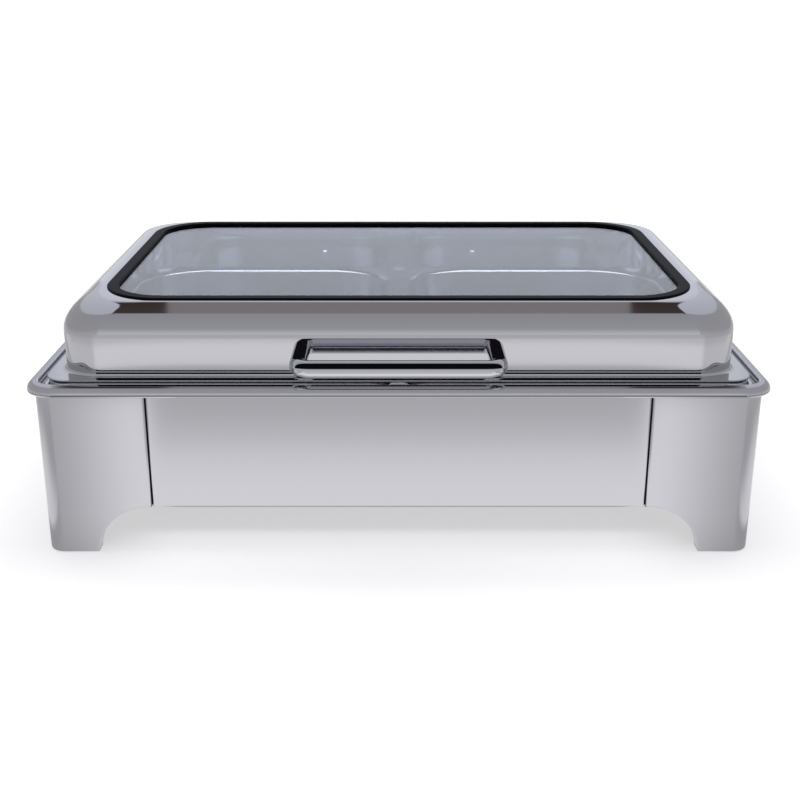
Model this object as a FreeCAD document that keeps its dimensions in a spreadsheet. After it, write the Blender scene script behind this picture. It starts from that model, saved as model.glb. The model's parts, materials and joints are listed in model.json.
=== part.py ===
import FreeCAD, Part
import math
import os
import Sketcher

# A full-size chafing dish: a pressed steel stand with two fuel burners, a water pan on the
# stand, two food pans side by side in the water pan, and a polished lid with a window, hinged
# behind the water pan. Millimetres. The origin is on the table under the middle of the dish,
# the front faces -Y and +Z is up.

Vector = FreeCAD.Vector
Rotation = FreeCAD.Rotation
FLAT = 1e-4

doc = FreeCAD.newDocument("chafing_dish")
sheet = doc.addObject("Spreadsheet::Sheet", "Sizes")
nodes = []


class Size:
    """A length or an angle: its value now, and the sheet expression that it follows."""

    def __init__(self, value, text):
        self.value = value
        self.text = text

    def __add__(self, other):
        other = as_size(other)
        return Size(self.value + other.value, f"({self.text} + {other.text})")

    def __sub__(self, other):
        other = as_size(other)
        return Size(self.value - other.value, f"({self.text} - {other.text})")

    def __mul__(self, number):
        return Size(self.value * number, f"({self.text} * {number})")

    def __truediv__(self, number):
        return Size(self.value / number, f"({self.text} / {number})")

    def __neg__(self):
        return self * -1


def as_size(number):
    return number if isinstance(number, Size) else Size(float(number), str(float(number)))


NONE = as_size(0)


def cell(alias, value, note):
    """One row of the sheet: what the size is, and the size itself under its alias."""
    row = cell.rows = getattr(cell, "rows", 0) + 1
    sheet.set(f"A{row}", note)
    sheet.set(f"B{row}", value)
    sheet.setAlias(f"B{row}", alias)
    return Size(float(value), f"Sizes.{alias}")


# Stand: four corner legs and four panels, all pressed from one gauge of sheet
stand_width = cell("stand_width", "600", "stand, outside width")
stand_depth = cell("stand_depth", "422", "stand, outside depth")
stand_height = cell("stand_height", "141.6", "stand, floor to top edge")
stand_sheet = cell("stand_sheet", "1.5", "sheet of the legs, panels and shelf")
stand_corner = cell("stand_corner", "15", "upright corner radius of a leg")
leg_face = cell("leg_face", "92.5", "width of a leg's face, corner to seam")
hem_depth = cell("hem_depth", "14", "depth of the folded hems behind each face")
hem_bend = cell("hem_bend", "1.8", "outside bend radius of the hems")
seam_gap = cell("seam_gap", "1.2", "gap between a leg and a panel")
seam_recess = cell("seam_recess", "2.2", "how far the seam strip sits back")
arch_height = cell("arch_height", "41.7", "floor to the panels' lower edge")
arch_radius = cell("arch_radius", "45.5", "radius of the arch beside a foot")
arch_flat = cell("arch_flat", "3.1", "straight end of the arch at the seam")
rivet_radius = cell("rivet_radius", "2", "shank of the seam rivets")
rivet_slack = cell("rivet_slack", "0.1", "radial slack of shanks in their holes")
rivet_head = cell("rivet_head", "3.6", "radius of a rivet's head")
rivet_dome = cell("rivet_dome", "1.4", "height of a rivet's head")
rivet_inset = cell("rivet_inset", "19.5", "panel's lower or upper edge to the next rivet")

# Burner shelf and the two fuel burners on it
shelf_height = cell("shelf_height", "8", "floor to the shelf's underside")
shelf_depth = cell("shelf_depth", "150", "shelf, front to back")
shelf_bend = cell("shelf_bend", "3", "outside bend radius of the shelf")
shelf_fit = cell("shelf_fit", "0.4", "shelf's end to the side panel's hem")
shelf_screw_spread = cell("shelf_screw_spread", "100", "between the two screws of a lip")
shelf_screw_radius = cell("shelf_screw_radius", "2", "shelf screw shank")
collar_height = cell("collar_height", "5", "locating collar on the shelf")
collar_wall = cell("collar_wall", "1.5", "wall of the locating collar")
burner_spacing = cell("burner_spacing", "268", "between the two burners' middles")
burner_radius = cell("burner_radius", "44", "outside radius of a burner cup")
burner_height = cell("burner_height", "47", "height of a burner cup")
burner_wall = cell("burner_wall", "1", "wall of the cup and its cover")
burner_fit = cell("burner_fit", "0.4", "cup to collar, and cover to cup, radial")
cover_skirt = cell("cover_skirt", "7", "depth of the cover's skirt")
flame_hole = cell("flame_hole", "23", "radius of the cover's flame hole")
damper_radius = cell("damper_radius", "27", "radius of the swivelling damper")
damper_reach = cell("damper_reach", "35", "damper pin to the middle of the cup")
damper_pin_radius = cell("damper_pin_radius", "2", "damper pin shank")
damper_gap = cell("damper_gap", "0.3", "running gap above and below the damper")
knob_radius = cell("knob_radius", "5.5", "damper knob")
knob_height = cell("knob_height", "8", "damper knob, height")
knob_reach = cell("knob_reach", "17", "middle of the cup to the knob")

# Water pan: rolled rim, drip channel, ledge and basin
rim_overhang = cell("rim_overhang", "7", "rolled rim beyond the stand's faces")
rim_corner = cell("rim_corner", "25", "plan corner of the rolled rim")
rim_height = cell("rim_height", "9.4", "height of the rolled rim")
rim_bead = cell("rim_bead", "10", "breadth of the rolled rim")
rim_round = cell("rim_round", "7", "rounding of the rolled rim's outer top edge")
rim_turn_in = cell("rim_turn_in", "2.2", "rounding of the rolled rim's other two edges")
channel_width = cell("channel_width", "4", "drip channel inside the rim")
channel_depth = cell("channel_depth", "3", "drip channel below the ledge")
ledge_drop = cell("ledge_drop", "3.5", "rim top down to the ledge")
ledge_width = cell("ledge_width", "8", "ledge that the food pans rest on")
ledge_thickness = cell("ledge_thickness", "4.5", "ledge with its stiffened underside")
basin_depth = cell("basin_depth", "61", "ledge down to the water pan's underside")
basin_corner = cell("basin_corner", "30", "plan corner of the basin")
basin_round = cell("basin_round", "12", "bend at the basin's bottom")
pan_sheet = cell("pan_sheet", "1.2", "sheet of the water pan")
bar_width = cell("bar_width", "16", "support bar between the food pans")
bar_depth = cell("bar_depth", "9", "height of the support bar")

# Food pans
food_gap = cell("food_gap", "1", "between the two food pans' flanges")
food_side_fit = cell("food_side_fit", "2.5", "flange to the drip channel, at the sides")
food_end_fit = cell("food_end_fit", "2", "flange to the drip channel, front and back")
food_flange_corner = cell("food_flange_corner", "17", "plan corner of the flange")
food_flange_height = cell("food_flange_height", "2.5", "rolled edge of the flange")
food_edge = cell("food_edge", "4.5", "breadth of the flange's rolled edge")
food_inner_rim = cell("food_inner_rim", "11.5", "flange beside the other pan")
food_outer_rim = cell("food_outer_rim", "13.5", "flange along the outer side")
food_end_rim = cell("food_end_rim", "15", "flange at the front and the back")
food_corner = cell("food_corner", "60", "plan corner of the pan's mouth")
food_depth = cell("food_depth", "52", "flange top down to the pan's underside")
food_draft = cell("food_draft", "6", "slope of the pan's walls, degrees")
food_round = cell("food_round", "13", "bend at the pan's bottom")
food_sheet = cell("food_sheet", "1", "sheet of the food pans")
food_lip = cell("food_lip", "4", "bend from the flange down into the pan")
food_edge_round = cell("food_edge_round", "1.1", "rounding of the flange's rolled edge")

# Lid, window and handle
lid_side_fit = cell("lid_side_fit", "4.5", "lid flange to the rolled rim, at the sides")
lid_end_fit = cell("lid_end_fit", "5.5", "lid flange to the rolled rim, front and back")
lid_flange_breadth = cell("lid_flange_breadth", "10.5", "lid flange, wall to edge")
lid_corner = cell("lid_corner", "35", "plan corner of the lid wall")
lid_rise = cell("lid_rise", "57.5", "lid flange to the lid's flat top")
lid_shoulder = cell("lid_shoulder", "24.5", "rounding of the lid's top edge")
lid_sheet = cell("lid_sheet", "1.3", "sheet of the lid")
lid_flange_corner = cell("lid_flange_corner", "20", "plan corner of the lid flange")
lid_flange_thickness = cell("lid_flange_thickness", "1.7", "hemmed edge of the lid flange")
lid_foot_bend = cell("lid_foot_bend", "2", "bend between lid wall and flange")
lid_clearance = cell("lid_clearance", "0.3", "closed lid above the food pans")
gasket_side_margin = cell("gasket_side_margin", "27.4", "lid's side walls to the window seal")
gasket_end_margin = cell("gasket_end_margin", "29.4", "lid's front and rear walls to the seal")
gasket_corner = cell("gasket_corner", "56", "plan corner of the window seal")
gasket_band = cell("gasket_band", "10", "breadth of the seal's face")
gasket_lap = cell("gasket_lap", "3.5", "seal's lap over the lid and the glass")
gasket_proud = cell("gasket_proud", "1.4", "seal above the lid's flat top")
gasket_lower = cell("gasket_lower", "5.3", "seal's lip under the lid's sheet")
gasket_round = cell("gasket_round", "0.9", "rounding of the seal's face")
glass_thickness = cell("glass_thickness", "4", "window pane")
glass_drop = cell("glass_drop", "2.6", "seal's face down to the pane")
handle_span = cell("handle_span", "162", "between the handle's two legs")
handle_height = cell("handle_height", "17", "lid flange up to the handle's middle")
handle_reach = cell("handle_reach", "33", "lid wall to the handle's middle")
handle_radius = cell("handle_radius", "7.3", "handle bar")
handle_bend = cell("handle_bend", "11", "centre-line bend of the handle")
handle_screw_radius = cell("handle_screw_radius", "2.9", "handle screw shank")
handle_screw_grip = cell("handle_screw_grip", "9", "thread depth in the handle's leg")
screw_end_gap = cell("screw_end_gap", "1", "screw's end to the bottom of its thread")
screw_head_radius = cell("screw_head_radius", "5.5", "screw heads inside the lid")
screw_head_height = cell("screw_head_height", "4", "screw heads inside the lid")
washer_radius = cell("washer_radius", "8", "washers under the handle screws")
washer_thickness = cell("washer_thickness", "1.2", "washers under the handle screws")

# Hinges behind the lid
hinge_spacing = cell("hinge_spacing", "164", "between the two hinges")
hinge_reach = cell("hinge_reach", "7", "rolled rim's back to the hinge axis")
hinge_rise = cell("hinge_rise", "7", "rolled rim's top up to the hinge axis")
hinge_pin_radius = cell("hinge_pin_radius", "2.5", "hinge pin shank")
hinge_fit = cell("hinge_fit", "0.05", "running fit of the hinge pin, radial")
knuckle_radius = cell("knuckle_radius", "5", "rolled knuckle of the hinge strap")
strap_width = cell("strap_width", "20", "hinge strap")
strap_sheet = cell("strap_sheet", "2.5", "sheet of the hinge strap")
strap_rise = cell("strap_rise", "29", "lid flange to the strap's top")
ear_sheet = cell("ear_sheet", "2.5", "sheet of the hinge bracket")
ear_gap = cell("ear_gap", "0.5", "strap to each ear, side play")
stop_sheet = cell("stop_sheet", "2", "stop web behind the open strap")
stop_gap = cell("stop_gap", "0.3", "open strap to the stop web")
stop_low = cell("stop_low", "9", "hinge axis up to the web's lower edge")
stop_high = cell("stop_high", "14", "hinge axis up to the web's top")
cut_beyond = cell("cut_beyond", "1", "how far the bracket's cut runs past the metal")
pin_head_radius = cell("pin_head_radius", "4", "hinge pin heads")
pin_head_height = cell("pin_head_height", "1.5", "hinge pin heads")
hinge_screw_radius = cell("hinge_screw_radius", "2.5", "hinge screw shank")
nut_across = cell("nut_across", "10", "cap nut across its flats")
nut_height = cell("nut_height", "5", "hexagon of the cap nut")
nut_bore_depth = cell("nut_bore_depth", "6.5", "thread depth of the cap nut")

doc.recompute()

# Levels and places that several pieces share
panel_width = stand_width - leg_face * 2 - seam_gap
side_panel_width = stand_depth - leg_face * 2 - seam_gap
seam_x = stand_width / 2 - leg_face
seam_y = stand_depth / 2 - leg_face
rivet_setback = (hem_depth + stand_sheet) / 2
rivet_low = arch_height + rivet_inset
rivet_high = stand_height - rivet_inset
shelf_top = shelf_height + stand_sheet
shelf_seat = arch_height + stand_sheet
shelf_end = stand_width / 2 - hem_depth - shelf_fit
shelf_lip_end = stand_width / 2 - stand_sheet - hem_bend
shelf_screw_x = (shelf_end + shelf_lip_end) / 2
cup_top = shelf_top + burner_height
rim_top = stand_height + rim_height
ledge_top = rim_top - ledge_drop
rim_width = stand_width + rim_overhang * 2
rim_depth = stand_depth + rim_overhang * 2
channel_outer_width = rim_width - rim_bead * 2
channel_outer_depth = rim_depth - rim_bead * 2
channel_corner = rim_corner - rim_bead
ledge_outer_width = channel_outer_width - channel_width * 2
ledge_outer_depth = channel_outer_depth - channel_width * 2
ledge_corner = channel_corner - channel_width
basin_width = ledge_outer_width - ledge_width * 2
basin_breadth = ledge_outer_depth - ledge_width * 2
food_top = ledge_top + food_flange_height
food_flange_width = (ledge_outer_width - food_side_fit * 2 - food_gap) / 2
food_flange_depth = ledge_outer_depth - food_end_fit * 2
lid_bottom = food_top + lid_clearance
lid_flange_top = lid_bottom + lid_flange_thickness
lid_top = lid_flange_top + lid_rise
lid_flange_width = channel_outer_width - lid_side_fit * 2
lid_flange_depth = channel_outer_depth - lid_end_fit * 2
lid_width = lid_flange_width - lid_flange_breadth * 2
lid_depth = lid_flange_depth - lid_flange_breadth * 2
gasket_width = lid_width - gasket_side_margin * 2
gasket_depth = lid_depth - gasket_end_margin * 2
seal_top = lid_top + gasket_proud
opening_width = gasket_width - gasket_lap * 2
opening_depth = gasket_depth - gasket_lap * 2
opening_corner = gasket_corner - gasket_lap
sight_width = gasket_width - gasket_band * 2
sight_depth = gasket_depth - gasket_band * 2
sight_corner = gasket_corner - gasket_band
glass_width = sight_width + gasket_lap * 2
glass_depth = sight_depth + gasket_lap * 2
glass_corner = sight_corner + gasket_lap
glass_bottom = seal_top - glass_drop - glass_thickness
handle_level = lid_flange_top + handle_height
hinge_y = rim_depth / 2 + hinge_reach
hinge_z = rim_top + hinge_rise
strap_under = hinge_z + knuckle_radius - strap_sheet
hinge_bore = hinge_pin_radius + hinge_fit
ear_offset = strap_width / 2 + ear_gap


def bind(thing, name, size):
    """Ties one property to the sheet."""
    thing.setExpression(name, as_size(size).text)


def place(thing, x=NONE, y=NONE, z=NONE, axis=(0, 0, 1), turn=0):
    """Turns a piece and puts it at a place that follows the sheet."""
    thing.Placement = FreeCAD.Placement(Vector(), Rotation(Vector(*axis), turn))
    bind(thing, "Placement.Base.x", x)
    bind(thing, "Placement.Base.y", y)
    bind(thing, "Placement.Base.z", z)
    return thing


def node(thing):
    """Marks a piece as one of the finished sub-parts."""
    nodes.append(thing)
    return thing


def new_body(name):
    body = doc.addObject("PartDesign::Body", name)
    body.Label = name
    body.AllowCompound = False
    return body


def sketch_on(body, role, name, right=NONE, up=NONE, out=NONE):
    """An empty sketch on one of the body's own planes, shifted by sizes from the sheet."""
    sketch = body.newObject("Sketcher::SketchObject", name)
    plane = next(item for item in body.Origin.OriginFeatures if item.Role == role)
    sketch.AttachmentSupport = [(plane, "")]
    sketch.MapMode = "FlatFace"
    bind(sketch, "AttachmentOffset.Base.x", right)
    bind(sketch, "AttachmentOffset.Base.y", up)
    bind(sketch, "AttachmentOffset.Base.z", out)
    return sketch


def datum(sketch, name, kind, *where_and_size):
    """A named dimension of a sketch, tied to the sheet."""
    *where, size = where_and_size
    size = as_size(size)
    index = sketch.addConstraint(Sketcher.Constraint(kind, *where, size.value))
    sketch.renameConstraint(index, name)
    bind(sketch, f"Constraints.{name}", size)


def draw_rounded(sketch, width, depth, corner, tag=""):
    """A closed rectangle with round corners, centred on the sketch's origin."""
    x = width.value / 2
    y = depth.value / 2
    r = corner.value
    sides = [
        ((r - x, -y), (x - r, -y)),
        ((x, r - y), (x, y - r)),
        ((x - r, y), (r - x, y)),
        ((-x, y - r), (-x, r - y)),
    ]
    centres = [(x - r, r - y), (x - r, y - r), (r - x, y - r), (r - x, r - y)]
    lines = [sketch.addGeometry(Part.LineSegment(Vector(*a), Vector(*b))) for a, b in sides]
    arcs = []
    for number, centre in enumerate(centres):
        circle = Part.Circle(Vector(*centre), Vector(0, 0, 1), r)
        start = math.radians(90 * number - 90)
        arcs.append(sketch.addGeometry(Part.ArcOfCircle(circle, start, start + math.pi / 2)))
    for number in range(4):
        after = lines[(number + 1) % 4]
        sketch.addConstraint(Sketcher.Constraint("Tangent", lines[number], 2, arcs[number], 1))
        sketch.addConstraint(Sketcher.Constraint("Tangent", arcs[number], 2, after, 1))
        level = "Vertical" if number % 2 else "Horizontal"
        sketch.addConstraint(Sketcher.Constraint(level, lines[number]))
    for arc in arcs[1:]:
        sketch.addConstraint(Sketcher.Constraint("Equal", arcs[0], arc))
    sketch.addConstraint(Sketcher.Constraint("Symmetric", arcs[0], 3, arcs[2], 3, -1, 1))
    datum(sketch, "corner" + tag, "Radius", arcs[0], corner)
    datum(sketch, "width" + tag, "DistanceX", lines[3], 1, lines[1], 1, width)
    datum(sketch, "depth" + tag, "DistanceY", lines[0], 1, lines[2], 1, depth)


def draw_polygon(sketch, points):
    """A closed outline of straight lines; every corner is two sizes from the sheet."""
    places = [(as_size(x), as_size(y)) for x, y in points]
    count = len(places)
    for number, (x, y) in enumerate(places):
        next_x, next_y = places[(number + 1) % count]
        start = Vector(x.value, y.value)
        sketch.addGeometry(Part.LineSegment(start, Vector(next_x.value, next_y.value)))
    for number in range(count):
        after = (number + 1) % count
        sketch.addConstraint(Sketcher.Constraint("Coincident", number, 2, after, 1))
    for number, (x, y) in enumerate(places):
        datum(sketch, f"across{number}", "DistanceX", -1, 1, number, 1, x)
        datum(sketch, f"above{number}", "DistanceY", -1, 1, number, 1, y)


def draw_circles(sketch, radius, *centres):
    """Circles of one radius, each centred at two sizes from the sheet."""
    for number, (x, y) in enumerate(centres or [(NONE, NONE)]):
        x = as_size(x)
        y = as_size(y)
        circle = Part.Circle(Vector(x.value, y.value), Vector(0, 0, 1), radius.value)
        index = sketch.addGeometry(circle)
        datum(sketch, f"across{number}", "DistanceX", -1, 1, index, 3, x)
        datum(sketch, f"above{number}", "DistanceY", -1, 1, index, 3, y)
        datum(sketch, f"radius{number}", "Radius", index, radius)


def add_feature(body, kind, sketch, length=None, flip=False, both=False, through=False):
    feature = body.newObject(f"PartDesign::{kind}", f"{sketch.Name}_{kind.lower()}")
    feature.Profile = sketch
    feature.Reversed = flip
    if both:
        feature.SideType = "Symmetric"
    if through:
        feature.Type = "ThroughAll"
    else:
        bind(feature, "Length", length)
    return feature


def pad(body, sketch, length, **way):
    return add_feature(body, "Pad", sketch, length, **way)


def pocket(body, sketch, length=None, **way):
    return add_feature(body, "Pocket", sketch, length, **way)


def revolve(body, sketch):
    """Turns a profile right round the sketch's upright axis."""
    feature = body.newObject("PartDesign::Revolution", f"{sketch.Name}_revolution")
    feature.Profile = sketch
    feature.ReferenceAxis = (sketch, ["V_Axis"])
    feature.Angle = 360


def names_where(feature, kind, test):
    """Names of a feature's edges or faces whose bounding box passes a test."""
    items = feature.Shape.Edges if kind == "Edge" else feature.Shape.Faces
    return [f"{kind}{n + 1}" for n, item in enumerate(items) if test(item.BoundBox)]


def round_edges(body, radius, test):
    """Rounds the edges of the body's last feature that pass a test."""
    doc.recompute()
    base = body.Tip
    feature = body.newObject("PartDesign::Fillet", f"{body.Name}_fillet")
    feature.Base = (base, names_where(base, "Edge", test))
    bind(feature, "Radius", radius)


def shell(body, sheet_size, open_face):
    """Hollows the body to one sheet's thickness, open at the faces that pass a test."""
    doc.recompute()
    base = body.Tip
    feature = body.newObject("PartDesign::Thickness", f"{body.Name}_shell")
    feature.Base = (base, names_where(base, "Face", open_face))
    bind(feature, "Value", sheet_size)


def same(a, b):
    return abs(a - b) < FLAT


def flat_at(height):
    """Test for an edge or a face that lies flat at one height."""
    level = as_size(height).value
    return lambda box: same(box.ZMin, level) and same(box.ZMax, level)


def mirrored(name, source, normal):
    """The same piece the other way round, across a plane through the origin."""
    twin = doc.addObject("Part::Mirroring", name)
    twin.Label = name
    twin.Source = source
    twin.Normal = Vector(*normal)
    return node(twin)


def copies(name, source, places):
    """One group of identical pieces; each place is x, y, z, a turning axis and an angle."""
    links = []
    for number, (x, y, z, axis, turn) in enumerate(places):
        link = doc.addObject("App::Link", f"{name}_{number + 1}")
        link.LinkedObject = source
        links.append(place(link, x, y, z, axis, turn))
    group = doc.addObject("Part::Compound", name)
    group.Label = name
    group.Links = links
    return node(group)


def cut_arch(body, role, across, out, flip):
    """The arch between a foot and the seam: a quarter round with a short straight end."""
    sketch = sketch_on(body, role, f"arch_{role[:2]}", across, arch_height - arch_radius, out)
    r = arch_radius.value
    arc = Part.ArcOfCircle(Part.Circle(Vector(), Vector(0, 0, 1), r), math.pi / 2, 3 * math.pi / 2)
    sketch.addGeometry(arc)
    for start, end in [((0, -r), (r, -r)), ((r, -r), (r, r)), ((r, r), (0, r))]:
        sketch.addGeometry(Part.LineSegment(Vector(*start), Vector(*end)))
    for first, second in [(0, 1), (1, 2), (2, 3), (3, 0)]:
        sketch.addConstraint(Sketcher.Constraint("Coincident", first, 2, second, 1))
    sketch.addConstraint(Sketcher.Constraint("Coincident", 0, 3, -1, 1))
    sketch.addConstraint(Sketcher.Constraint("PointOnObject", 0, 1, -2))
    sketch.addConstraint(Sketcher.Constraint("Horizontal", 1))
    sketch.addConstraint(Sketcher.Constraint("Vertical", 2))
    sketch.addConstraint(Sketcher.Constraint("Horizontal", 3))
    datum(sketch, "arch", "Radius", 0, arch_radius)
    datum(sketch, "beyond", "DistanceX", 1, 1, 1, 2, arch_radius)
    pocket(body, sketch, hem_depth * 2, flip=flip)


def make_corner_leg():
    """The front left leg: an L of sheet with a round corner, hemmed all round its outline."""
    body = new_body("leg_front_left")
    left = -(stand_width / 2)
    front = -(stand_depth / 2)
    end = leg_face - seam_gap / 2
    outline = sketch_on(body, "XY_Plane", "leg_outline", left, front)
    draw_polygon(outline, [
        (NONE, NONE),
        (end, NONE),
        (end, hem_depth),
        (hem_depth, hem_depth),
        (hem_depth, end),
        (NONE, end),
    ])
    pad(body, outline, stand_height)
    corner_x = left.value + FLAT
    corner_y = front.value + FLAT
    round_edges(body, stand_corner, lambda box: box.XMax < corner_x and box.YMax < corner_y)
    arch_middle = leg_face - arch_flat
    cut_arch(body, "XZ_Plane", left + arch_middle, -front, False)
    cut_arch(body, "YZ_Plane", front + arch_middle, left, True)
    skin = stand_corner.value + FLAT
    round_edges(body, hem_bend, lambda box: on_leg_skin(box, left.value, front.value, skin))
    inside_x = (left + hem_depth).value
    inside_y = (front + hem_depth).value
    shell(body, stand_sheet, lambda box: (same(box.XMin, inside_x) and same(box.XMax, inside_x))
          or (same(box.YMin, inside_y) and same(box.YMax, inside_y)))
    holes = sketch_on(body, "YZ_Plane", "front_seam_holes", front + rivet_setback, NONE, left + end)
    draw_circles(holes, rivet_radius + rivet_slack, (NONE, rivet_low), (NONE, rivet_high))
    pocket(body, holes, stand_sheet * 2)
    holes = sketch_on(body, "XZ_Plane", "side_seam_holes", left + rivet_setback, NONE, -(front + end))
    draw_circles(holes, rivet_radius + rivet_slack, (NONE, rivet_low), (NONE, rivet_high))
    pocket(body, holes, stand_sheet * 2, flip=True)
    return node(body)


def on_leg_skin(box, left, front, skin):
    """Edges that bound the leg's outer skin, but not those between its three outer faces."""
    on_front = box.YMax < front + FLAT
    on_side = box.XMax < left + FLAT
    on_corner = box.XMax < left + skin and box.YMax < front + skin
    tangent_seam = box.ZLength > 1 and on_corner and box.XLength < FLAT and box.YLength < FLAT
    flat_corner = on_corner and box.ZLength < FLAT
    return (on_front or on_side or flat_corner) and not tangent_seam


def make_panel(name, width, x, y, turn, shelf_holes=False):
    """A panel hemmed on all four edges, made facing -Y and then turned to its side."""
    body = new_body(name)
    height = stand_height - arch_height
    outline = sketch_on(body, "XZ_Plane", f"{name}_outline", -(width / 2), arch_height)
    draw_polygon(outline, [(NONE, NONE), (width, NONE), (width, height), (NONE, height)])
    pad(body, outline, hem_depth, flip=True)
    round_edges(body, hem_bend, lambda box: box.YMax < FLAT)
    back = hem_depth.value
    shell(body, stand_sheet, lambda box: box.YMin > back - FLAT)
    holes = sketch_on(body, "YZ_Plane", f"{name}_seam_holes", rivet_setback)
    draw_circles(holes, rivet_radius + rivet_slack, (NONE, rivet_low), (NONE, rivet_high))
    pocket(body, holes, through=True, both=True)
    if shelf_holes:
        half = shelf_screw_spread / 2
        inward = stand_width / 2 - shelf_screw_x
        holes = sketch_on(body, "XY_Plane", f"{name}_shelf_holes", NONE, inward, arch_height)
        draw_circles(holes, shelf_screw_radius + rivet_slack, (-half, NONE), (half, NONE))
        pocket(body, holes, stand_sheet * 2, flip=True)
    return node(place(body, x, y, NONE, turn=turn))


def seam_places():
    """The eight seams: where each one's middle is, and which way its faces look."""
    places = []
    for side in (-1, 1):
        for end in (-1, 1):
            across = (seam_x * side, (stand_depth / 2 - rivet_setback) * end)
            along = ((stand_width / 2 - rivet_setback) * side, seam_y * end)
            places.append((across, True))
            places.append((along, False))
    return places


def make_seam_strip():
    """A dark strip that fills one seam, set back from the face and holed for its rivets."""
    body = new_body("seam_strip")
    depth = hem_depth - seam_recess
    height = stand_height - arch_height - hem_bend * 2
    outline = sketch_on(body, "YZ_Plane", "seam_strip_outline",
                        seam_recess - rivet_setback, arch_height + hem_bend)
    draw_polygon(outline, [(NONE, NONE), (depth, NONE), (depth, height), (NONE, height)])
    pad(body, outline, seam_gap, both=True)
    holes = sketch_on(body, "YZ_Plane", "seam_strip_holes")
    draw_circles(holes, rivet_radius + rivet_slack, (NONE, rivet_low), (NONE, rivet_high))
    pocket(body, holes, through=True, both=True)
    return body


def make_rivet():
    """A seam rivet along X: shank through two hems and the strip, domed head at each end."""
    body = new_body("panel_rivet")
    half = seam_gap / 2 + stand_sheet
    profile = sketch_on(body, "XY_Plane", "rivet_profile")
    tip = rivet_head * 0.45
    draw_polygon(profile, [
        (NONE, -(half + rivet_dome)),
        (tip, -(half + rivet_dome)),
        (rivet_head, -(half + rivet_dome * 0.4)),
        (rivet_head, -half),
        (rivet_radius, -half),
        (rivet_radius, half),
        (rivet_head, half),
        (rivet_head, half + rivet_dome * 0.4),
        (tip, half + rivet_dome),
        (NONE, half + rivet_dome),
    ])
    revolve(body, profile)
    return body


def make_seams():
    strip = make_seam_strip()
    rivet = make_rivet()
    strips = []
    rivets = []
    for (x, y), across in seam_places():
        outward = (180 if y.value > 0 else 0) if across else (-90 if x.value < 0 else 90)
        strips.append((x, y, NONE, (0, 0, 1), outward))
        for height in (rivet_low, rivet_high):
            rivets.append((x, y, height, (0, 0, 1), 90 if across else 0))
    copies("seam_strips", strip, strips)
    copies("panel_rivets", rivet, rivets)


def make_burner_shelf():
    """A tray bent from one sheet, hung by its lips on the side panels' lower hems."""
    body = new_body("burner_shelf")
    rise = shelf_seat - shelf_height
    profile = sketch_on(body, "XZ_Plane", "shelf_profile", NONE, shelf_height)
    right = [
        (shelf_end, NONE),
        (shelf_end, rise),
        (shelf_lip_end, rise),
        (shelf_lip_end, rise + stand_sheet),
        (shelf_end - stand_sheet, rise + stand_sheet),
        (shelf_end - stand_sheet, stand_sheet),
    ]
    left = [(-x, y) for x, y in reversed(right)]
    draw_polygon(profile, right + left)
    pad(body, profile, shelf_depth, both=True)
    low = shelf_height.value
    high = (shelf_seat + stand_sheet).value
    round_edges(body, shelf_bend, lambda box: box.YLength > 1 and box.ZLength < FLAT
                and (same(box.ZMin, low) or (same(box.ZMin, high) and abs(box.XMin) < shelf_end.value)))
    for side, word in ((-1, "left"), (1, "right")):
        collar = sketch_on(body, "XY_Plane", f"collar_{word}", burner_spacing / 2 * side, NONE, shelf_top)
        draw_circles(collar, burner_radius + burner_fit + collar_wall, (NONE, NONE))
        bore = collar.addGeometry(Part.Circle(Vector(), Vector(0, 0, 1), burner_radius.value))
        collar.addConstraint(Sketcher.Constraint("Coincident", bore, 3, -1, 1))
        datum(collar, "bore", "Radius", bore, burner_radius + burner_fit)
        pad(body, collar, collar_height)
    holes = sketch_on(body, "XY_Plane", "lip_holes", NONE, NONE, shelf_seat + stand_sheet)
    half = shelf_screw_spread / 2
    corners = [(shelf_screw_x * side, half * end) for side in (-1, 1) for end in (-1, 1)]
    draw_circles(holes, shelf_screw_radius + rivet_slack, *corners)
    pocket(body, holes, stand_sheet * 1.5)
    return node(body)


def make_screw(name, radius, length, head_radius, head_height):
    """A round-headed screw that points down; its origin is under the head."""
    body = new_body(name)
    profile = sketch_on(body, "XZ_Plane", f"{name}_profile")
    draw_polygon(profile, [
        (NONE, -length),
        (radius, -length),
        (radius, NONE),
        (head_radius, NONE),
        (head_radius, head_height * 0.5),
        (head_radius * 0.6, head_height),
        (NONE, head_height),
    ])
    revolve(body, profile)
    return body


def make_shelf_screws():
    half = shelf_screw_spread / 2
    level = shelf_seat + stand_sheet
    screw = make_screw("shelf_screw", shelf_screw_radius, stand_sheet * 3,
                       shelf_screw_radius * 2, shelf_screw_radius)
    spots = [(shelf_screw_x * side, half * end, level, (0, 0, 1), 0)
             for side in (-1, 1) for end in (-1, 1)]
    copies("shelf_screws", screw, spots)


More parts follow.
